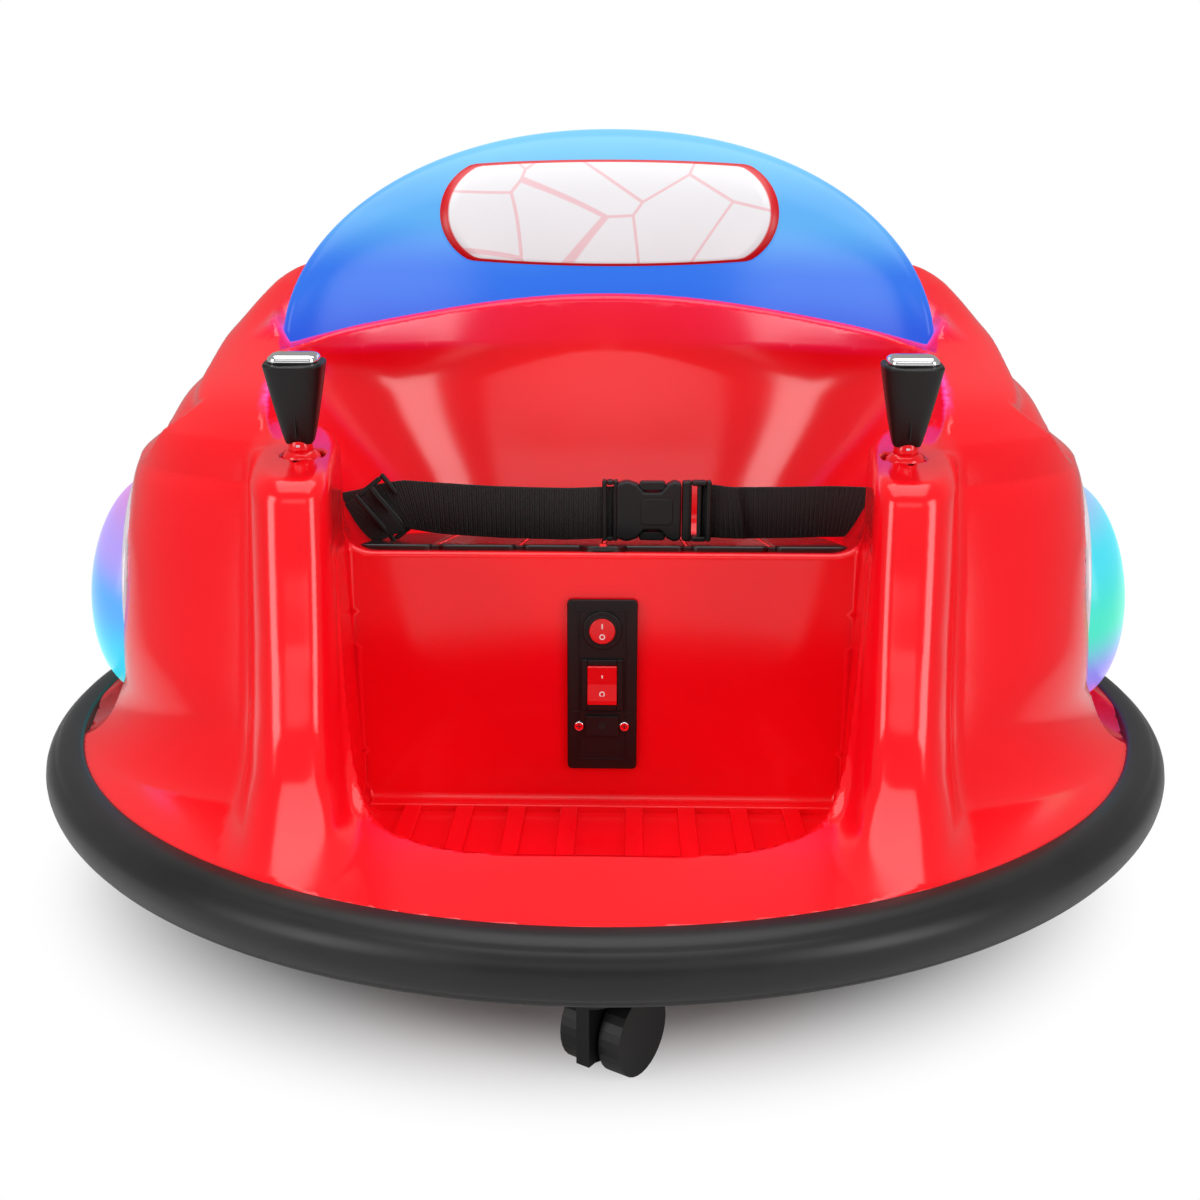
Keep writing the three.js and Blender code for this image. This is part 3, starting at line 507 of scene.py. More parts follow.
def reckon(tree, operation, *values):
    """One step of arithmetic on sockets and numbers."""
    return new_node(tree, "Math", dict(enumerate(values)), operation=operation).outputs["Value"]


def mixed(tree, factor, first, second):
    """Two colours, or sockets, mixed by a factor."""
    inputs = {"Factor": factor, "A": first, "B": second}
    return new_node(tree, "Mix", inputs, data_type="RGBA").outputs["Result"]


def colour_ramp(tree, level, stops, interpolation="LINEAR"):
    """The colour at a level from 0 to 1, between stops of (level, colour)."""
    node = new_node(tree, "ValToRGB", {"Fac": level})
    ramp = node.color_ramp
    ramp.interpolation = interpolation
    while len(ramp.elements) < len(stops):
        ramp.elements.new(0.5)
    for element, (position, colour) in zip(ramp.elements, stops):
        element.position = position
        element.color = (*colour, 1)
    return node.outputs["Color"]


def uv_parts(tree, name):
    """A piece's own flat coordinates, in millimetres."""
    uv = new_node(tree, "UVMap", {}, uv_map=name).outputs["UV"]
    parts = new_node(tree, "SeparateXYZ", {0: uv}).outputs
    return parts["X"], parts["Y"]


def add_bump(tree, shader, height, strength, distance):
    bump = new_node(tree, "Bump", {"Height": height, "Strength": strength, "Distance": distance})
    set_inputs(tree, shader, {"Normal": bump.outputs["Normal"]})


def plastic(name, dark, light, rough, grain=900.0, bump=0.05, coat=0.0, metallic=0.0, shine=0.5):
    """Moulded plastic or metal: a faint mottle in its colour and polish, and a fine grain."""
    material, tree, shader = new_material(name)
    mottle = add_noise(tree, 14.0)
    looks = {
        "Base Color": mixed(tree, spread(tree, mottle, 0, 1), dark, light),
        "Roughness": spread(tree, mottle, *rough),
        "Metallic": metallic,
        "Specular IOR Level": shine,
        "Coat Weight": coat,
        "Coat Roughness": 0.04,
    }
    set_inputs(tree, shader, looks)
    add_bump(tree, shader, add_noise(tree, grain, 2.0), bump, 0.0003)
    return material


def glowing(name, stops, across, low, high):
    """Translucent plastic lit from inside: a gradient along one direction, with a soft mottle."""
    material, tree, shader = new_material(name)
    reach = high - low
    dot = new_node(tree, "VectorMath", {0: own_place(tree), 1: across}, operation="DOT_PRODUCT")
    level = reckon(tree, "MULTIPLY_ADD", add_noise(tree, 7.0, 2.0), 0.22 * reach, dot.outputs["Value"])
    level = spread(tree, level, 0, 1, low + 0.11 * reach, high + 0.11 * reach)
    looks = {
        "Emission Color": colour_ramp(tree, level, stops, "EASE"),
        "Emission Strength": 1.0,
        "Base Color": (0.02, 0.03, 0.05),
        "Roughness": 0.24,
        "Specular IOR Level": 0.2,
    }
    set_inputs(tree, shader, looks)
    return material


def shell_red():
    """Glossy red polypropylene, with painted glow where the shell is close to the dome: emission that stands
    in for the dome's light on the shell, and a painted light line along the cockpit's rim.
    """
    material, tree, shader = new_material("shell_red")
    mottle = add_noise(tree, 9.0)
    painted_glow = new_node(tree, "Attribute", {}, attribute_name="painted_glow").outputs["Fac"]
    darker, lighter = (0.84, 0.0015, 0.008), (0.90, 0.0032, 0.009)
    # The painted glow's colours, from faint to strong, standing in for the dome's light on the shell
    faint, strong = (0.50, 0.03, 0.45), (0.55, 0.26, 1.0)
    looks = {
        "Base Color": mixed(tree, spread(tree, mottle, 0, 1), darker, lighter),
        "Roughness": spread(tree, mottle, 0.13, 0.18),
        "Specular IOR Level": 0.44,
        "Emission Color": colour_ramp(tree, painted_glow, [(0.0, faint), (1.0, strong)]),
        "Emission Strength": painted_glow,
    }
    set_inputs(tree, shader, looks)
    add_bump(tree, shader, add_noise(tree, 160.0, 2.0), 0.035, 0.0004)
    return material


def webbing(column=1.4, row=1.3):
    """Nylon webbing: columns of slanting stitches, in millimetres along and across the strap."""
    material, tree, shader = new_material("webbing")
    along, across = uv_parts(tree, "strap")

    def humps(value, width):
        wave = reckon(tree, "SINE", reckon(tree, "MULTIPLY", value, math.pi / width))
        return reckon(tree, "ABSOLUTE", wave)

    slanted = reckon(tree, "ADD", across, reckon(tree, "PINGPONG", along, column))
    stitches = reckon(tree, "MULTIPLY", humps(slanted, row), humps(along, column))
    height = reckon(tree, "POWER", stitches, 0.6)
    fuzz = reckon(tree, "MULTIPLY_ADD", add_noise(tree, 900.0), 0.5, 0.7)
    # The stitches' pattern sets the colour: crests are painted lighter as a highlight and hollows darker as
    # shade, on top of the bump
    looks = {
        "Base Color": mixed(tree, reckon(tree, "MULTIPLY", height, fuzz), grey(0.0008), warm_grey(0.028)),
        "Roughness": 0.55,
        "Specular IOR Level": 0.35,
    }
    set_inputs(tree, shader, looks)
    add_bump(tree, shader, height, 1.0, 0.0007)
    return material


def badge_print():
    """A blank white plate with a thin red border and a pale crazed ground."""
    material, tree, shader = new_material("badge_print")
    _, inset = uv_parts(tree, "badge")
    cells = {"Vector": own_place(tree), "Scale": 17.0, "Randomness": 0.9}
    cells = new_node(tree, "TexVoronoi", cells, feature="DISTANCE_TO_EDGE").outputs["Distance"]
    ground = mixed(tree, spread(tree, cells, 0, 1, 0.020, 0.012), (0.74, 0.74, 0.76), (0.74, 0.50, 0.53))
    border = spread(tree, inset, 0, 1, 1.9, 1.5)
    looks = {
        "Base Color": mixed(tree, border, ground, (0.60, 0.002, 0.008)),
        "Roughness": 0.35,
    }
    set_inputs(tree, shader, looks)
    return material


RED = shell_red()
# Each light's colours, from 0 at one end of its gradient to 1 at the other
DOME_GLOW = [
    (0.0, (0.006, 0.085, 0.72)),
    (0.28, (0.012, 0.15, 0.80)),
    (0.60, (0.10, 0.42, 0.88)),
    (1.0, (0.18, 0.60, 0.96)),
]
RIGHT_GLOW = [
    (0.0, (0.03, 0.75, 0.62)),
    (0.3, (0.05, 0.68, 0.92)),
    (0.55, (0.10, 0.42, 1.0)),
    (0.75, (0.45, 0.33, 0.90)),
    (1.0, (0.72, 0.25, 0.62)),
]
LEFT_GLOW = [
    (0.0, (0.62, 0.10, 0.55)),
    (0.22, (0.30, 0.25, 0.85)),
    (0.45, (0.06, 0.78, 0.55)),
    (0.7, (0.06, 0.72, 0.85)),
    (1.0, (0.50, 0.42, 0.85)),
]
UP = (0.0, 0.0, 1.0)
BUMPER_GREYS = grey(0.010), warm_grey(0.017)
BUCKLE_GREYS = grey(0.004), grey(0.007)
GRIP_GREYS = grey(0.003), warm_grey(0.006)
LAMP_RIGHT = glowing("lamp_right", RIGHT_GLOW, (0.35, 0.0, 1.0), -0.015, 0.13)
LAMP_LEFT = glowing("lamp_left", LEFT_GLOW, (-0.2, 0.0, 1.0), 0.03, 0.18)
MATERIALS = {
    "red_plastic": RED,
    "black_plastic": plastic("black_plastic", grey(0.0025), warm_grey(0.005), (0.34, 0.5), shine=0.35),
    "bumper_plastic": plastic("bumper_plastic", *BUMPER_GREYS, (0.34, 0.44), 700, 0.12, shine=0.3),
    "dome_plastic": glowing("dome_plastic", DOME_GLOW, UP, 0.31, 0.44),
    "lamp_plastic": LAMP_LEFT,
    "lamp_rim": plastic("lamp_rim", (0.62, 0.60, 0.66), (0.75, 0.74, 0.80), (0.15, 0.25), coat=0.5),
    "badge_plastic": badge_print(),
    "mat_plastic": plastic("mat_plastic", grey(0.004), warm_grey(0.008), (0.22, 0.34)),
    "switch_red": plastic("switch_red", (0.62, 0.004, 0.008), (0.75, 0.006, 0.01), (0.12, 0.2)),
    "webbing": webbing(),
    "buckle_plastic": plastic("buckle_plastic", *BUCKLE_GREYS, (0.36, 0.5), 1800, 0.15, shine=0.35),
    "battery_case": plastic("battery_case", (0.03, 0.03, 0.034), (0.05, 0.05, 0.055), (0.4, 0.55)),
    "axle_steel": plastic("axle_steel", grey(0.42), grey(0.55), (0.25, 0.4), metallic=1.0),
    "drive_tyre": plastic("drive_tyre", grey(0.012), grey(0.02), (0.5, 0.7), 500, 0.2),
    "grip_plastic": plastic("grip_plastic", *GRIP_GREYS, (0.36, 0.46), 1500, 0.12, shine=0.3),
    "stick_chrome": plastic("stick_chrome", grey(0.85), grey(0.92), (0.03, 0.08), 60, 0.01, metallic=1.0),
    # Near-black for the painted shade in holes and slots
    "dark_hole": plastic("dark_hole", grey(0.001), grey(0.003), (0.6, 0.8)),
    "mark_white": plastic("mark_white", grey(0.75), grey(0.85), (0.4, 0.5)),
    "castor_plastic": plastic("castor_plastic", grey(0.006), warm_grey(0.012), (0.38, 0.5), shine=0.4),
}


# ---- Making meshes, in millimetres ----
def put_mesh(name, vertices, faces, material, smooth=True):
    """A piece from vertices and faces, with its faces turned outwards."""
    mesh = bpy.data.meshes.new(name)
    mesh.from_pydata([tuple(c * MM for c in v) for v in vertices], [], faces)
    solid = bmesh.new()
    solid.from_mesh(mesh)
    bmesh.ops.recalc_face_normals(solid, faces=solid.faces)
    solid.to_mesh(mesh)
    solid.free()
    mesh.polygons.foreach_set("use_smooth", [smooth] * len(mesh.polygons))
    mesh.materials.append(material)
    mesh.update()
    piece = bpy.data.objects.new(name, mesh)
    bpy.context.scene.collection.objects.link(piece)
    return piece


def loft_faces(rings, count, closed=False):
    """Quads between rings of vertices, with caps on the end rings unless they close into a loop."""
    faces = []
    last = rings if closed else rings - 1
    for r in range(last):
        for i in range(count):
            j, s = (i + 1) % count, (r + 1) % rings
            faces.append((r * count + i, r * count + j, s * count + j, s * count + i))
    if not closed:
        faces.append(tuple(reversed(range(count))))
        faces.append(tuple((rings - 1) * count + i for i in range(count)))
    return faces


def lathe(profile, sides, place):
    """A closed profile of (radius, height) turned about an axis; place maps (x, y, z) onto the car."""
    vertices = []
    for r, h in profile:
        for i in range(sides):
            a = 2 * math.pi * i / sides
            vertices.append(place(r * math.cos(a), r * math.sin(a), h))
    return vertices, loft_faces(len(profile), sides, closed=True)


def bevelled(piece, width, segments=2):
    """Bakes a bevel into a piece's edges."""
    modifier = piece.modifiers.new("bevel", "BEVEL")
    modifier.width = width * MM
    modifier.segments = segments
    modifier.limit_method = "ANGLE"
    modifier.angle_limit = math.radians(35)
    modifier.harden_normals = True
    depsgraph = bpy.context.evaluated_depsgraph_get()
    baked = bpy.data.meshes.new_from_object(piece.evaluated_get(depsgraph))
    piece.modifiers.clear()
    piece.data = baked
    return piece


def prism(name, near, far, material, bevel, segments=2):
    """A flat-faced solid between two rings of vertices."""
    piece = put_mesh(name, near + far, loft_faces(2, len(near)), material, False)
    return bevelled(piece, bevel, segments)


def rectangle(x0, y0, x1, y1):
    return [(x0, y0), (x1, y0), (x1, y1), (x0, y1)]


def block(name, low, high, material, bevel=0.6):
    (x0, y0, z0), (x1, y1, z1) = low, high
    near = [(x, y, z0) for x, y in rectangle(x0, y0, x1, y1)]
    far = [(x, y, z1) for x, y in rectangle(x0, y0, x1, y1)]
    return prism(name, near, far, material, bevel)


def along_x(name, outline, x0, x1, material, bevel=0.4):
    """An outline of (y, z) points, drawn out from x0 to x1."""
    near = [(x0, y, z) for y, z in outline]
    far = [(x1, y, z) for y, z in outline]
    return prism(name, near, far, material, bevel)


def along_y(name, outline, y0, y1, material, bevel=0.4):
    """An outline of (x, z) points, drawn out from y0 to y1."""
    near = [(x, y0, z) for x, z in outline]
    far = [(x, y1, z) for x, z in outline]
    return prism(name, near, far, material, bevel)


def arc(x, z, radius, start, end, steps=6):
    """Points round (x, z), from one angle in degrees to another."""
    angles = [math.radians(start + (end - start) * i / steps) for i in range(steps + 1)]
    return [(x + radius * math.cos(a), z + radius * math.sin(a)) for a in angles]


def disc_y(name, radius, y0, y1, x, z, material, sides=40, bevel=0.5):
    """A short cylinder along Y."""
    outline = arc(x, z, radius, 0, 360 - 360 / sides, sides - 1)
    return along_y(name, outline, y0, y1, material, bevel)


def round_corners(half_x, half_z, radius, x=0.0, z=0.0, steps=6):
    """A rounded rectangle's outline round (x, z)."""
    points = []
    for quarter, (side_x, side_z) in enumerate(((1, 1), (-1, 1), (-1, -1), (1, -1))):
        corner_x = x + side_x * (half_x - radius)
        corner_z = z + side_z * (half_z - radius)
        points += arc(corner_x, corner_z, radius, 90 * quarter, 90 * quarter + 90, steps)
    return points


def frame_y(name, low, high, side, y0, y1, material, bevel=0.4):
    """A rectangular frame seen from the front, with sides of one width."""
    (x0, z0), (x1, z1) = low, high
    bars = [
        ((x0, z0), (x0 + side, z1)),
        ((x1 - side, z0), (x1, z1)),
        ((x0 + side, z0), (x1 - side, z0 + side)),
        ((x0 + side, z1 - side), (x1 - side, z1)),
    ]
    parts = [block(name, (a[0], y0, a[1]), (b[0], y1, b[1]), material, bevel) for a, b in bars]
    return join(name, parts)


def turned(piece, matrix):
    """Bakes a transform, in metres, into a piece's mesh."""
    piece.data.transform(matrix)
    return piece


def join(name, pieces):
    """Several meshes as one object."""
    bpy.ops.object.select_all(action="DESELECT")
    for piece in pieces:
        piece.select_set(True)
    bpy.context.view_layer.objects.active = pieces[0]
    bpy.ops.object.join()
    pieces[0].name = name
    return pieces[0]


def stand_for(piece, body, slot, *nodes):
    """A piece that takes the place of CAD nodes."""
    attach(piece, body)
    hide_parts(*nodes)
    return piece


def added(piece, body):
    """A piece that stands for no CAD node of its own."""
    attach(piece, body)
    return piece


# ---- The shell ----
def painted_glow_of(p):
    """How strong the painted glow is at each point: emission painted on the shell where the dome's light
    falls on it, and a painted light line along the cockpit's rim.
    """
    x, y, z = np.abs(p[:, 0]), p[:, 1], p[:, 2]
    dome = unit_field(dome_level, x, y, z, 70)
    # Painted glow of the dome's light on the shell, near the dome and just below its seam
    close = np.exp(-np.maximum(dome - 0.5, 0) / 3.4) * np.clip((z - DOME["base"]) / 6, 0, 1)
    below = 0.5 * np.exp(-np.maximum(seam_height(x) - z, 0) / 1.8)
    below *= np.clip((9 - dome) / 4, 0, 1) * (z > 285)
    towards_tip = 0.3 + 0.3 * np.clip(x / SEAM_TIP_X, 0, 1) ** 4
    wall = unit_field(wall_level, x, y, z, 250)
    cockpit = unit_field(cockpit_level, x, y, z, 150)
    # A painted light line along the cockpit's rim, where the wall meets the bucket seat's cut
    rim = np.exp(-((wall / 2.2) ** 2 + (cockpit / 2.2) ** 2))
    rim *= np.clip((z - 232) / 12, 0, 1) * np.clip((y + 95) / 20, 0, 1) * (z < 306)
    return np.clip(np.maximum(np.maximum(close, below) * towards_tip, 0.8 * rim), 0, 1)


def body_shell():
    grid = 3.4
    piece, points = field_mesh("shell", shell_field, (0, -349, 50), (320, 349, 358), grid, 0.55)
    piece.data.materials.append(RED)
    # At each point, how strongly the dome's light is painted onto the shell as emission
    attribute = piece.data.attributes.new("painted_glow", "FLOAT", "POINT")
    attribute.data.foreach_set("value", painted_glow_of(points).astype(np.float32))
    return stand_for(piece, "car", "red_plastic", "body_shell")


body_shell()


# ---- The bumper ring ----
RING = dict(radius=335.0, stretch=365.0 / 335.0, low=67.0, deep=33.0, lip=21.0, lip_height=19.0)


def bumper_ring():
    """A hollow-backed ring: a lower lip, a round nose and a crown, with a shallow groove between each."""
    r, low, inner = RING["radius"], RING["low"], RING["radius"] - RING["deep"]
    profile = [(inner, low + 1.5), (inner + 2, low)]
    profile += arc(r - 10.5, low + 6.3, 6.3, -90, -15)
    profile += arc(r - 18.8, low + 16, 18.8, -35, 0, 4)
    profile += arc(r - 12.5, low + 16, 12.5, 15, 53, 4)
    profile += [(r - 5.9, low + 26.6)]
    profile += arc(r - 15, low + 16.4, 14.0, 53, 90, 4)
    profile += arc(r - 18.75, low + 27.95, 2.25, 80, 180, 4)
    profile += [(r - RING["lip"], low + RING["lip_height"]), (inner, low + RING["lip_height"])]
    vertices, faces = lathe(profile, 256, lambda x, y, z: (x, y * RING["stretch"], z))
    piece = put_mesh("bumper", vertices, faces, MATERIALS["bumper_plastic"])
    return stand_for(piece, "car", "bumper_plastic", "bumper_ring")


bumper_ring()


# ---- The light dome and its badge ----
def dome_front(x, z, out=0.0):
    """The y of the dome's front at (x, z), or of a surface that stands out from it."""
    p = DOME["power"]
    rest = 1 - np.abs(x / DOME["half"]) ** p - np.abs((z - DOME["base"]) / DOME["height"]) ** p
    return dome_middle(x) - DOME["depth"] * np.maximum(rest, 0) ** (1 / p) - out


def signed_power(value, power):
    return math.copysign(abs(value) ** power, value)


def dome_skin(rise, around, thin, place):
    """A thin dome's outer rings from its foot to its top, then its inner rings back down.

    place maps two angles, round the dome and up it, and how far inside the surface, onto the car.
    """
    nearly_top = 0.5 * math.pi - 1e-3
    vertices = []
    for shrink in (0.0, thin):
        for j in range(rise + 1):
            up = 0.5 * math.pi * (j / rise if shrink == 0 else 1 - j / rise)
            for i in range(around):
                vertices.append(place(2 * math.pi * i / around, min(up, nearly_top), shrink))
    return vertices, loft_faces(2 * rise + 2, around, closed=True)


def light_dome():
    """The dome's skin, seated on the shell's deck."""
    power = 2 / DOME["power"]

    def place(turn, up, inside):
        level = signed_power(math.cos(up), power)
        x = (DOME["half"] - inside) * level * signed_power(math.cos(turn), power)
        y = (DOME["depth"] - inside) * level * signed_power(math.sin(turn), power)
        z = (DOME["height"] - inside) * signed_power(math.sin(up), power)
        return (x, dome_middle(x) + y, DOME["base"] + z)

    vertices, faces = dome_skin(40, 160, 3.0, place)
    piece = put_mesh("dome", vertices, faces, MATERIALS["dome_plastic"])
    return stand_for(piece, "car", "dome_plastic", "light_dome")


light_dome()

BADGE = dict(half=111.0, tall=35.0, z=389.0, thick=1.1, above=0.4)


def badge():
    """A stadium-shaped plate wrapped onto the dome's front."""
    tall, straight = BADGE["tall"], BADGE["half"] - BADGE["tall"]
    rings, sides = 10, 96
    vertices, inset = [], []
    for out in (BADGE["above"] + BADGE["thick"], BADGE["above"]):
        for k in range(rings + 1):
            scale = k / rings
            for i in range(sides):
                a = 2 * math.pi * i / sides
                middle = straight * max(-1, min(1, 2.2 * math.cos(a)))
                x, z = (middle + tall * math.cos(a)) * scale, BADGE["z"] + tall * math.sin(a) * scale
                vertices.append((x, float(dome_front(x, z, out)), z))
                inset.append(tall * (1 - scale))
    count = rings + 1
    faces = []
    for layer in (0, 1):
        for k in range(rings):
            for i in range(sides):
                j = (i + 1) % sides
                base = (layer * count + k) * sides
                faces.append((base + i, base + j, base + sides + j, base + sides + i))
    front_edge, back_edge = rings * sides, (count + rings) * sides
    for i in range(sides):
        j = (i + 1) % sides
        faces.append((front_edge + i, front_edge + j, back_edge + j, back_edge + i))
    piece = put_mesh("badge", vertices, faces, MATERIALS["badge_plastic"])
    layer = piece.data.uv_layers.new(name="badge")
    for loop in piece.data.loops:
        layer.data[loop.index].uv = (vertices[loop.vertex_index][0], inset[loop.vertex_index])
    return stand_for(piece, "car", "badge_plastic", "dome_badge")


badge()


# ---- The side lamps ----
def lamp_place(sign, along, out, z):
    """A side lamp's own distances, along the car and out from it, placed on the car."""
    c, s = math.cos(LAMP_TURN), math.sin(LAMP_TURN)
    return (sign * (LAMP["face"] + out * c + along * s), LAMP["y"] + along * c - out * s, z)


def lamp_lens(name, sign, material):
    """A bulging lens whose crown droops a little."""
    border = LAMP["border"] + 0.3
    length, height = LAMP["length"] - border, LAMP["height"] - border

    def place(turn, up, inside):
        along = (length - inside) * math.cos(up) * math.cos(turn)
        out = 0.3 + (LAMP["bulge"] - inside) * math.sin(up) ** 0.9
        rise = (height - inside) * math.cos(up) * math.sin(turn) - LAMP["droop"] * math.sin(up)
        return lamp_place(sign, along, out, LAMP["z"] + rise)

    vertices, faces = dome_skin(24, 96, 3.0, place)
    lens = put_mesh(f"lens_{name}", vertices, faces, material)
    stand_for(lens, "car", "lamp_plastic", f"lamp_lens_{name}")


def lamp_rim(name, sign):
    """A flat oval ring with its outer edge chamfered."""
    sides, border = 96, LAMP["border"]
    section = [(border, 0.3), (0.0, 0.3), (0.0, 4.6), (1.0, 5.3), (border, 5.3)]
    vertices = []
    for inset, out in section:
        length, height = LAMP["length"] - inset, LAMP["height"] - inset
        for i in range(sides):
            a = 2 * math.pi * i / sides
            vertices.append(lamp_place(sign, length * math.cos(a), out, LAMP["z"] + height * math.sin(a)))
    faces = loft_faces(len(section), sides, closed=True)
    rim = put_mesh(f"rim_{name}", vertices, faces, MATERIALS["lamp_rim"])
    stand_for(rim, "car", "lamp_rim", f"lamp_rim_{name}")


for name, sign, material in (("right", -1, LAMP_RIGHT), ("left", 1, LAMP_LEFT)):
    lamp_lens(name, sign, material)
    lamp_rim(name, sign)


# ---- The belt ----
BELT = dict(y=-60.0, sag=20.0, half=15.0, thick=1.5)
SEAT_HALF = 141.7
BUCKLE = dict(x0=-1.0, x1=61.0, low=204.1, high=240.0, front=-84.6, back=-74.2)
ADJUSTER = dict(x=-126.0, z=220.0, half=11.0, tall=18.0, bar=3.0)
# Each strap's stations: x, the height of its middle, and its lean in degrees
BELT_RIGHT = [
    (-158, 213, 30),
    (-146, 215, 36),
    (-135, 218, 40),
    (-124, 221, 34),
    (-112, 222, 14),
    (-96, 221, 3),
    (-60, 220, 0),
    (-20, 219.8, -1),
    (6, 221, 0),
]
BELT_RIGHT_FOLD = [(-147, 209, 52), (-141, 211, 48), (-132, 216, 42), (-125, 219, 38)]
BELT_LEFT = [(54, 221.5, 0), (75, 220, 1), (100, 219.5, 1), (130, 219, -2), (148, 218, -16), (158, 216, -24)]
BELT_LEFT_FOLD = [(56, 221.5, 0), (62, 222, -2), (70, 221, 4), (79, 220, 9)]


def belt_y(x):
    """The belt's path, which sags forwards in its middle."""
    return BELT["y"] - BELT["sag"] * (1 - (x / SEAT_HALF) ** 2)


def strap(name, stations, forward=0.0):
    """Webbing through its stations along the belt's path, or in front of it."""
    half, thick = BELT["half"], BELT["thick"] / 2
    steps = 6
    fine = []
    for near, far in zip(stations, stations[1:]):
        for i in range(steps):
            fine.append(tuple(a + (b - a) * i / steps for a, b in zip(near, far)))
    fine.append(stations[-1])
    # Half of a flat section with rounded edges: how far up, and how far out
    profile = [(-1.0, 0.25), (-0.97, 1.0), (0.0, 1.12), (0.97, 1.0), (1.0, 0.25)]
    section = profile + [(up, -out) for up, out in reversed(profile)]
    vertices, measured = [], []
    run = 0.0
    before = None
    for x, z, lean in fine:
        here = (x, belt_y(x), z)
        run += math.dist(here, before) if before else 0.0
        before = here
        a = math.radians(lean)
        for up, out in section:
            leant_x = x - half * up * math.sin(a)
            y = belt_y(leant_x) - forward - thick * out
            vertices.append((leant_x, y, z + half * up * math.cos(a)))
            measured.append((run, half * up))
    piece = put_mesh(name, vertices, loft_faces(len(fine), len(section)), MATERIALS["webbing"])
    layer = piece.data.uv_layers.new(name="strap")
    for loop in piece.data.loops:
        layer.data[loop.index].uv = measured[loop.vertex_index]
    return piece


def belt():
    right = join("belt_right", [strap("belt_main", BELT_RIGHT), strap("belt_fold", BELT_RIGHT_FOLD, 3.2)])
    stand_for(right, "car", "webbing", "belt_right")
    left = join("belt_left", [strap("belt_single", BELT_LEFT), strap("belt_double", BELT_LEFT_FOLD, 2.6)])
    stand_for(left, "car", "webbing", "belt_left")


belt()


def adjuster():
    """The slider that the strap is threaded through, leaning with it."""
    x, z, half, tall = ADJUSTER["x"], ADJUSTER["z"], ADJUSTER["half"], ADJUSTER["tall"]
    black = MATERIALS["buckle_plastic"]
    y = belt_y(x)
    corners = (x - half, z - tall), (x + half, z + tall)
    frame_piece = frame_y("slider", *corners, ADJUSTER["bar"], y - 3.6, y - 0.9, black, 1.0)
    bar = block("slider_bar", (x - 1.8, y - 4.6, z - tall + 2), (x + 1.8, y - 2.2, z + tall - 2), black, 1.0)
    piece = join("adjuster", [frame_piece, bar])
    here = Matrix.Translation((x * MM, y * MM, z * MM))
    turn = Matrix.Rotation(math.radians(12), 4, "Z") @ Matrix.Rotation(math.radians(-38), 4, "Y")
    turned(piece, here @ turn @ here.inverted())
    stand_for(piece, "car", "buckle_plastic", "belt_adjuster")


adjuster()


def buckle_socket():
    """The half on the right strap: a waisted body, a strap holder and a raised panel."""
    black = MATERIALS["buckle_plastic"]
    x0, low, high = BUCKLE["x0"], BUCKLE["low"], BUCKLE["high"]
    front, back = BUCKLE["front"], BUCKLE["back"]
    middle, tall = (low + high) / 2, (high - low) / 2
    # Half of the body's outline: how far along it, and how far below its full height
    edge = [(8, 2.5), (14, 0.5), (20, 2.5), (24, 7), (33, 7), (37, 2.5), (41, 0.5), (45, 2)]
    outline = [(x0 + along, middle - tall + drop) for along, drop in edge]
    outline += [(x0 + along, middle + tall - drop) for along, drop in reversed(edge)]
    body = along_y("socket", outline, front, back, black, 1.6)
    corners = (x0, low + 0.5), (x0 + 9, high - 0.5)
    holder = frame_y("holder", *corners, 2.6, front + 2, back - 1, black, 1.0)
    panel = round_corners(9, 7.5, 2.5, x0 + 31, middle)
    panel = along_y("panel", panel, front - 0.7, front + 1, black, 0.5)
    socket = join("buckle_socket", [body, holder, panel])
    stand_for(socket, "car", "buckle_plastic", "buckle_socket")


def buckle_latch():
    """The half on the left strap: two sprung arms inside the socket, a base and a strap frame."""
    black = MATERIALS["buckle_plastic"]
    x0, x1, low, high = BUCKLE["x0"], BUCKLE["x1"], BUCKLE["low"], BUCKLE["high"]
    front, back = BUCKLE["front"], BUCKLE["back"]
    middle, tall = (low + high) / 2, (high - low) / 2
    pieces = []
    for side in (-1, 1):
        outline = round_corners(7.5, 2.6, 2.0, x0 + 28.5, middle + side * (tall - 3.6))
        pieces.append(along_y("arm", outline, front + 2.2, back - 2, black, 0.9))
    corners = (x0 + 45.4, front + 1, low + 0.8), (x0 + 50, back - 1, high - 0.8)
    pieces.append(block("base", *corners, black, 1.2))
    corners = (x0 + 54, front + 2.5, low + 2), (x0 + 56.4, back - 2.5, high - 2)
    pieces.append(block("bar", *corners, black, 0.9))
    corners = (x0 + 48, low + 0.5), (x1, high - 0.5)
    pieces.append(frame_y("latch_frame", *corners, 2.8, front + 1.6, back - 1.6, black, 1.0))
    latch = join("buckle_latch", pieces)
    stand_for(latch, "car", "buckle_plastic", "buckle_latch")


buckle_socket()
buckle_latch()


# ---- The control plate ----
PLATE_FACE = -118.3
PLATE = dict(half=19.5, tall=49.5, z=129.5, back=-115.2, raised_half=13.4, raised_low=85.8, raised_high=173.2)
SCREW_X, SCREW_Z, FLAP_Z = (-12.9, 12.5), 105.8, 106.1
ROUND_SWITCH_Z, SQUARE_SWITCH_Z = 161.8, 130.4


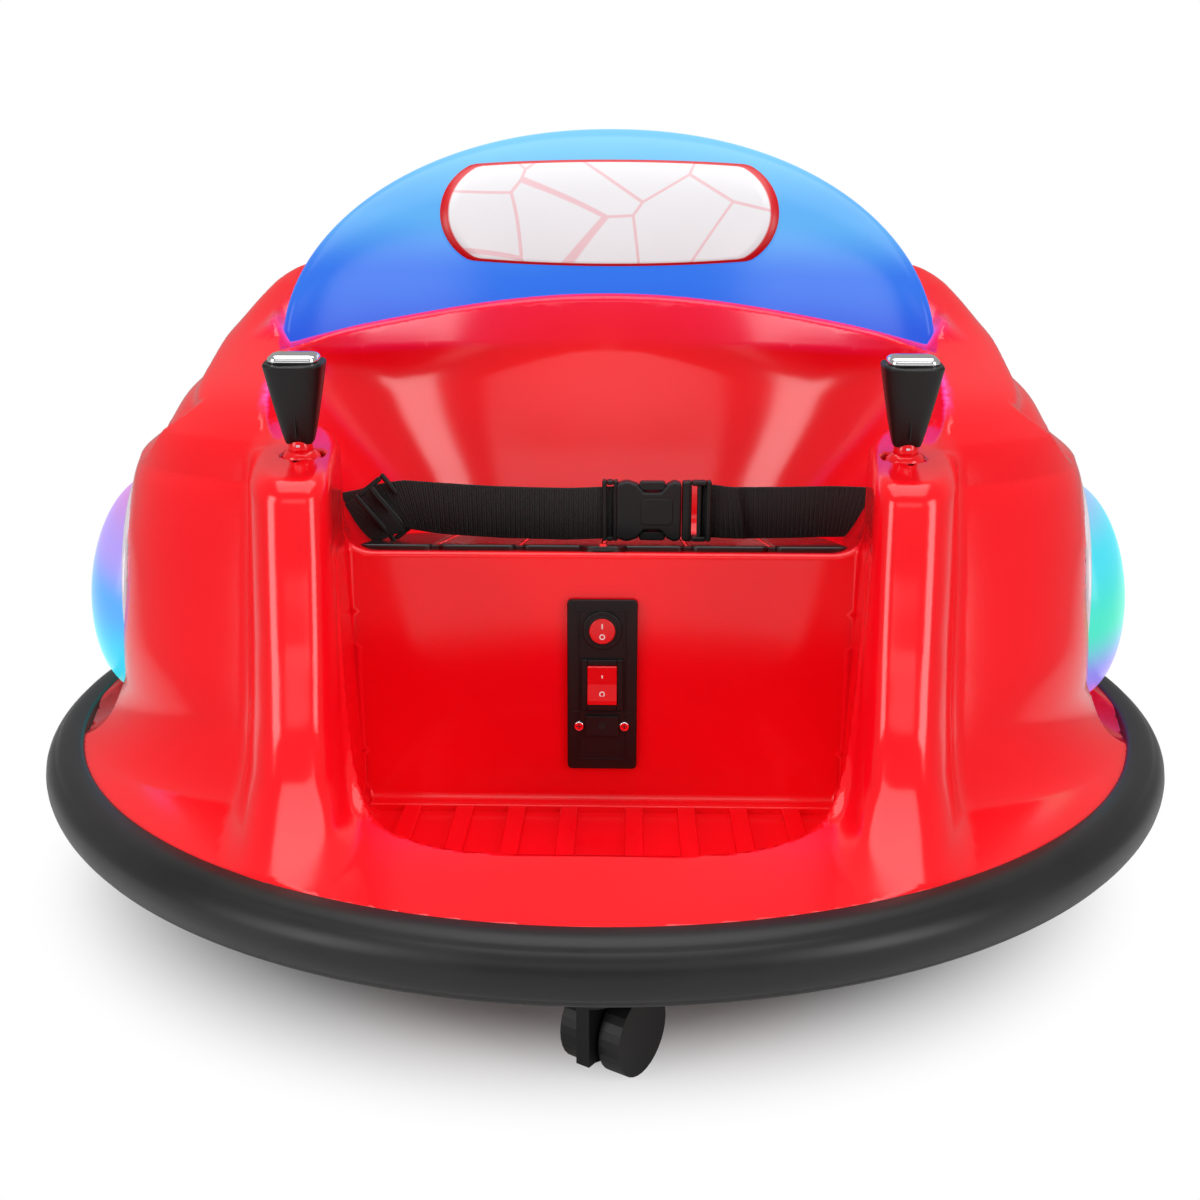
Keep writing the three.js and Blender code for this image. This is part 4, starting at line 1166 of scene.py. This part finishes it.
def control_plate():
    """A plate with a raised frame and a rail across it, and dark discs painted as the shade of the small
    holes in its lower part.
    """
    black, dark, face = MATERIALS["black_plastic"], MATERIALS["dark_hole"], PLATE_FACE
    outline = round_corners(PLATE["half"], PLATE["tall"], 2.5, 0, PLATE["z"])
    plate = along_y("plate", outline, face, PLATE["back"], black, 0.7)
    half = PLATE["raised_half"]
    corners = (-half, PLATE["raised_low"]), (half, PLATE["raised_high"])
    raised = frame_y("raised", *corners, 0.7, face - 0.5, face + 0.5, black, 0.2)
    rail = block("rail", (-17.5, face - 0.4, 113.6), (17.5, face + 0.5, 114.4), black, 0.2)
    join("control_plate", [plate, raised, rail])
    stand_for(plate, "car", "black_plastic", "control_plate")
    # The holes are dark discs standing on the plate: painted shade, not cut holes
    holes = []
    for x in (-10.5, 10.5):
        for z in (103, 95.6):
            holes.append(disc_y("dot", 0.7, face - 0.15, face + 0.4, x, z, dark, 12, 0.1))
    holes.append(disc_y("flap_hole", 2.2, face - 2.0, face - 0.5, 0, FLAP_Z, dark, 24, 0.1))
    added(join("plate_holes", holes), "car")


def screws():
    """Two round heads with crossed slots, the slots drawn as dark blocks of painted shade."""
    chrome, dark, face = MATERIALS["stick_chrome"], MATERIALS["dark_hole"], PLATE_FACE
    heads, slots = [], []
    for x in SCREW_X:
        heads.append(disc_y("head", 2.8, face - 1.4, face + 0.3, x, SCREW_Z, chrome, 28, 0.7))
        # Each slot is a dark block: painted shade where the slot's hollow would be
        for half_x, half_z in ((1.5, 0.25), (0.25, 1.5)):
            low = (x - half_x, face - 1.55, SCREW_Z - half_z)
            high = (x + half_x, face - 1.2, SCREW_Z + half_z)
            slots.append(block("slot", low, high, dark, 0.1))
    added(join("plate_screws", heads), "car")
    added(join("screw_slots", slots), "car")


def power_marks(name, y, bar_z, ring_z, tilt):
    """The printed line and circle of a rocker switch."""
    white = MATERIALS["mark_white"]
    bar = block("bar", (-0.35, y - 0.12, bar_z - 1.4), (0.35, y + 0.3, bar_z + 1.4), white, 0.05)
    profile = [(1.0, 0.0), (1.6, 0.0), (1.6, 0.4), (1.0, 0.4)]
    vertices, faces = lathe(profile, 24, lambda a, b, h: (a, y - 0.12 + h, ring_z + b))
    ring = put_mesh("ring", vertices, faces, white, False)
    piece = join(name, [bar, ring])
    centre = Matrix.Translation((0, y * MM, 0.5 * (bar_z + ring_z) * MM))
    turned(piece, centre @ Matrix.Rotation(math.radians(tilt), 4, "X") @ centre.inverted())
    added(piece, "car")


def round_switch():
    """A stepped black bezel round a red button."""
    black, red, face, z = MATERIALS["black_plastic"], MATERIALS["switch_red"], PLATE_FACE, ROUND_SWITCH_Z
    bezel = disc_y("bezel", 11.0, face - 1.9, face - 0.2, 0, z, black, 48, 0.7)
    step = disc_y("step", 8.4, face - 2.5, face - 0.5, 0, z, black, 40, 0.4)
    added(join("round_bezel", [bezel, step]), "car")
    button = disc_y("round_button", 7.2, face - 3.6, face - 1.2, 0, z, red, 40, 0.6)
    stand_for(button, "car", "switch_red", "round_switch")
    power_marks("round_marks", face - 3.6, z + 3.0, z - 3.0, 0)


def square_switch():
    """A black frame round a red rocker whose lower half stands out."""
    black, red, face, z = MATERIALS["black_plastic"], MATERIALS["switch_red"], PLATE_FACE, SQUARE_SWITCH_Z
    corners = (-11.6, z - 14.8), (11.6, z + 14.8)
    bezel = frame_y("square_bezel", *corners, 3.4, face - 2.0, face - 0.2, black, 0.6)
    added(bezel, "car")
    # From the rocker's foot to its top: how far it stands out, and how far it is above its middle
    side = [(0.3, -11.2), (3.9, -11.0), (4.2, -8.6), (1.9, 0.4), (2.6, 10.4), (2.2, 11.2), (0.3, 11.2)]
    outline = [(face - out, z + up) for out, up in side]
    rocker = along_x("rocker", outline, -8.2, 8.2, red, 0.4)
    stand_for(rocker, "car", "switch_red", "square_switch")
    power_marks("square_marks", face - 2.75, z + 5.6, z - 4.9, -6)


def charge_flap():
    outline = round_corners(9.3, 6, 1.2, 0, FLAP_Z)
    flap = along_y("flap", outline, PLATE_FACE - 1.8, PLATE_FACE - 0.2, MATERIALS["black_plastic"], 0.4)
    stand_for(flap, "car", "black_plastic", "charge_cover")


control_plate()
screws()
round_switch()
square_switch()
charge_flap()


# ---- The seat mat and the footwell's ribs ----
MAT = dict(front=-103.0, back=33.0, half=137.0, panel=47.0, gap=1.5, thick=3.2, sunk=-1.0)


def on_seat(name, outline, low, high, material, bevel, segments=2):
    """A flat piece on the sloping seat, between two heights above it."""
    near = [(x, y, seat_top(y) + low) for x, y in outline]
    far = [(x, y, seat_top(y) + high) for x, y in outline]
    return prism(name, near, far, material, bevel, segments)


def seat_mat():
    """Six rounded panels side by side with shallow gaps, and a half-round tab at the front."""
    dark, front, back = MATERIALS["mat_plastic"], MAT["front"], MAT["back"]
    edges = [-MAT["half"]] + [MAT["panel"] * (i - 2) for i in range(5)] + [MAT["half"]]
    last = len(edges) - 2
    panels = []
    for k, (near, far) in enumerate(zip(edges, edges[1:])):
        low = near + (0 if k == 0 else MAT["gap"])
        high = far - (0 if k == last else MAT["gap"])
        shorten = 10 if k in (0, last) else 0
        half_x, half_y = (high - low) / 2, (back - shorten - front) / 2
        outline = round_corners(half_x, half_y, 5.0, low + half_x, front + half_y)
        panels.append(on_seat("panel", outline, MAT["sunk"], MAT["thick"], dark, 1.4, 3))
    for half, y0, y1 in ((134, front + 3, front + 13), (120.6, back - 14, back - 4)):
        panels.append(on_seat("strip", rectangle(-half, y0, half, y1), MAT["sunk"], 2.6, dark, 0.5))
    tab = [(x, front + 3 + 0.75 * y) for x, y in arc(0, 0, 14, 180, 360, 32)]
    panels.append(on_seat("tab", tab, MAT["sunk"], MAT["thick"], dark, 0.8))
    stand_for(join("seat_mat", panels), "car", "mat_plastic", "seat_mat")


def seat_ribs():
    """The seat's red ribs that show between the mat's panels, and one through its tab."""
    front, back = MAT["front"], MAT["back"]
    ribs = []
    for i in range(5):
        x = MAT["panel"] * (i - 2)
        outline = rectangle(x - 1, front + 14, x + 1, back - 15)
        ribs.append(on_seat("seat_rib", outline, MAT["sunk"], 2.8, RED, 0.6))
    ribs.append(on_seat("tab_rib", rectangle(-2, front - 7, 2, front + 2), 0.0, 4.4, RED, 0.8))
    added(join("seat_ribs", ribs), "car")


def floor_ribs():
    """Raised strips along the footwell's floor, the heel strip across its back and a small stop."""
    spacing, half = 29.5, 5.0
    ribs, floor_z = [], FOOTWELL["floor"]
    for side in (-1, 1):
        for i in range(4):
            x = side * (i + 0.62) * spacing
            front = -262 + 3.2 * i * i
            top, foot = floor_z + 3.6, floor_z - 1
            outline = [(front, foot), (front + 3, top), (-116, top), (-114, foot)]
            ribs.append(along_x("rib", outline, x - half, x + half, RED, 1.0))
    ribs.append(block("heel", (-132, -127, floor_z - 1), (132, -113, floor_z + 4.2), RED, 1.2))
    ribs.append(block("stop", (-5, -247, floor_z - 1), (5, -232, floor_z + 3.0), RED, 1.0))
    added(join("floor_ribs", ribs), "car")


seat_mat()
seat_ribs()
floor_ribs()


# ---- The joysticks, made upright about their pivots ----
STICK_LEAN = 7.0  # degrees towards the seat
GRIP = dict(low=13.6, high=56.4, foot=7.0, widen=8.8, deep=0.86, arch=3.4, hollow=1.6)
CAP_HALF_X, CAP_HALF_Y, CAP_CORNER = 13.0, 8.6, 5.5


def stick_place(sign):
    lean = Matrix.Rotation(math.radians(STICK_LEAN), 4, "X")
    pivot = Vector((sign * STICK_X, STICK_Y, tower_top(STICK_Y) - STICK_SINK))
    return Matrix.Translation(pivot * MM) @ lean


def turned_solid(name, profile, sides, material):
    """A closed profile of (radius, height) turned about the stick's axis."""
    vertices, faces = lathe(profile, sides, lambda x, y, z: (x, y, z))
    return put_mesh(name, vertices, faces, material)


def stick_ball(name, sign):
    """The ball in its socket, with a low button that shows above it, a neck, and a pale dot painted where a
    highlight shows on the neck's front.
    """
    ball = [(0.01, -5.7), (10.2, -5.7), (11.7, 0.0), (11.3, 3.0), (9.4, 6.9)]
    button = [(8.6, 8.0), (7.4, 9.1), (5.2, 10.3), (0.01, 10.6)]
    neck = [(0.01, 9.0), (6.8, 9.2), (6.4, 11.0), (6.2, 14.5), (5.4, 15.6), (0.01, 15.8)]
    parts = [turned_solid("neck", neck, 32, RED), turned_solid("disc", ball + button, 48, RED)]
    piece = turned(join(f"stick_ball_{name}", parts), stick_place(sign))
    stand_for(piece, f"joystick_{name}", "red_plastic", f"stick_ball_{name}")
    # A pale dot painted on the neck's front, where a highlight shows
    dot = block(f"stick_highlight_dot_{name}", (-1.0, -6.6, 12.2), (1.0, -5.9, 13.4), MATERIALS["lamp_rim"], 0.2)
    added(turned(dot, stick_place(sign)), f"joystick_{name}")


def grip_ring(h, half):
    """One level of the grip: a rounded rectangle, arched at its foot and hollowed at its top."""
    sides, power = 32, 2 / 3.6
    ring = []
    for i in range(sides):
        a = 2 * math.pi * (i + 0.5) / sides
        x, y = signed_power(math.cos(a), power), signed_power(math.sin(a), power)
        arch = GRIP["arch"] * max(0.0, 1 - abs(x) * 1.5) if h < 15 else 0.0
        hollow = GRIP["hollow"] * (1 - abs(x)) if h > 56 else 0.0
        ring.append((half * x, half * GRIP["deep"] * y, h + arch - hollow))
    return ring


def stick_grip(name, sign):
    """A grip that widens upwards, with chamfered corners, arched feet and a hollow top."""
    low, high, foot, widen = GRIP["low"], GRIP["high"], GRIP["foot"], GRIP["widen"]
    rings = []
    for h in (low, 16, 20, 28, 38, 46, 52):
        rings.append(grip_ring(h, foot + widen * ((h - low) / (high - low)) ** 0.85))
    rings.append(grip_ring(55, foot + widen - 0.2))
    rings.append(grip_ring(high, foot + widen - 1.0))
    vertices = [v for ring in rings for v in ring]
    material = MATERIALS["grip_plastic"]
    body = bevelled(put_mesh("grip", vertices, loft_faces(len(rings), len(rings[0])), material), 0.4)
    seam = block("seam", (-0.35, -9.3, 18), (0.35, 9.3, 30), material, 0.1)
    piece = turned(join(f"stick_grip_{name}", [body, seam]), stick_place(sign))
    stand_for(piece, f"joystick_{name}", "grip_plastic", f"stick_grip_{name}")


def stick_cap(name, sign):
    """A chromed cap whose edge is rounded over onto its top."""
    # How much wider each level is than the cap's rim, and its height
    levels = [(-0.6, 55.6), (0.0, 56.4), (0.1, 57.6), (-0.4, 58.8), (-1.6, 59.7), (-4.0, 60.3), (-7.5, 60.6)]
    rings = []
    for grow, h in levels:
        corner = max(CAP_CORNER + grow, 0.6)
        outline = round_corners(CAP_HALF_X + grow, CAP_HALF_Y + grow, corner, steps=8)
        rings.append([(x, y, h) for x, y in outline])
    vertices = [v for ring in rings for v in ring]
    faces = loft_faces(len(rings), len(rings[0]))
    piece = put_mesh(f"stick_cap_{name}", vertices, faces, MATERIALS["stick_chrome"])
    stand_for(turned(piece, stick_place(sign)), f"joystick_{name}", "stick_chrome", f"stick_cap_{name}")


for name, sign in (("left", 1), ("right", -1)):
    stick_ball(name, sign)
    stick_grip(name, sign)
    stick_cap(name, sign)


# ---- Everything that keeps its CAD shape takes its material here ----
for entry in frame["record"]["subparts"]:
    piece = frame["nodes"][entry["node"]]
    piece.data.materials.clear()
    piece.data.materials.append(MATERIALS[entry["material_slot"]])


# ---- Floor, light and camera, in metres ----
def floor_material():
    """A pale plain floor that turns into plain white away from the car."""
    material, tree, shader = new_material("floor")
    looks = {"Base Color": grey(0.8), "Roughness": 0.6, "Specular IOR Level": 0.2}
    set_inputs(tree, shader, looks)
    away = new_node(tree, "VectorMath", {0: own_place(tree)}, operation="LENGTH").outputs["Value"]
    fade = {"Value": away, "From Min": 0.24, "From Max": 0.35}
    far = new_node(tree, "MapRange", fade, interpolation_type="SMOOTHSTEP").outputs["Result"]
    camera_ray = new_node(tree, "LightPath", {}).outputs["Is Camera Ray"]
    white = new_node(tree, "Emission", {"Color": grey(1)}).outputs["Emission"]
    both = reckon(tree, "MULTIPLY", far, camera_ray)
    mix = new_node(tree, "MixShader", {0: both, 1: shader.outputs["BSDF"], 2: white})
    set_inputs(tree, tree.nodes["Material Output"], {"Surface": mix.outputs["Shader"]})
    return material


def floor():
    """The floor, whose shaded middle lies a little to the left, as the car's shadow does."""
    far = 9000
    corners = [(x, y, 0) for x, y in rectangle(-far, -far, far, far)]
    piece = put_mesh("floor", corners, [(0, 1, 2, 3)], floor_material())
    piece.location.x = -0.012


def soft_box(name, place, aim, width, height, power):
    light = bpy.data.lights.new(name, "AREA")
    light.shape = "RECTANGLE"
    light.size, light.size_y, light.energy = width, height, power
    lamp = bpy.data.objects.new(name, light)
    lamp.location = place
    direction = Vector(aim) - Vector(place)
    lamp.rotation_euler = direction.to_track_quat("-Z", "Y").to_euler()
    bpy.context.scene.collection.objects.link(lamp)


def studio_world(strength):
    """Plain white to the camera, and a weaker white light on the car."""
    world = bpy.data.worlds.new("studio")
    bpy.context.scene.world = world
    world.use_nodes = True
    tree = world.node_tree
    ambient = new_node(tree, "Background", {"Color": grey(1), "Strength": strength}).outputs[0]
    seen = new_node(tree, "Background", {"Color": grey(1), "Strength": 1.0}).outputs[0]
    camera_ray = new_node(tree, "LightPath", {}).outputs["Is Camera Ray"]
    mix = new_node(tree, "MixShader", {0: camera_ray, 1: ambient, 2: seen})
    set_inputs(tree, tree.nodes["World Output"], {"Surface": mix.outputs["Shader"]})


def aimed_camera(place, lens, pitch, yaw, roll):
    """A camera that looks along +Y, turned down, to the side and about its own axis, in radians."""
    forward = Vector((math.sin(yaw) * math.cos(pitch), math.cos(yaw) * math.cos(pitch), -math.sin(pitch)))
    right = Vector((math.cos(yaw), -math.sin(yaw), 0))
    up = right.cross(forward)
    turned_right = right * math.cos(roll) + up * math.sin(roll)
    turned_up = up * math.cos(roll) - right * math.sin(roll)
    data = bpy.data.cameras.new("camera")
    data.lens, data.sensor_width = lens, 36
    data.clip_start = 0.05
    camera = bpy.data.objects.new("camera", data)
    axes = Matrix((turned_right, turned_up, -forward)).transposed()
    camera.matrix_world = Matrix.Translation(place) @ axes.to_4x4()
    bpy.context.scene.collection.objects.link(camera)
    bpy.context.scene.camera = camera


floor()
soft_box("left_box", (-1.9, -1.5, 1.1), (0, 0, 0.15), 0.9, 1.5, 23)
soft_box("right_box", (1.9, -1.5, 1.1), (0, 0, 0.15), 0.9, 1.5, 23)
soft_box("top_box", (0, 0.1, 2.4), (0, 0, 0), 2.2, 2.2, 38)
soft_box("front_box", (0, -2.6, 1.9), (0, 0, 0.2), 2.4, 0.8, 8)
studio_world(0.34)
aimed_camera((0.01352, -0.88170, 0.37286), lens=42.866, pitch=0.24860, yaw=-0.01947, roll=0.00261)
bpy.context.scene.view_settings.view_transform = "Standard"
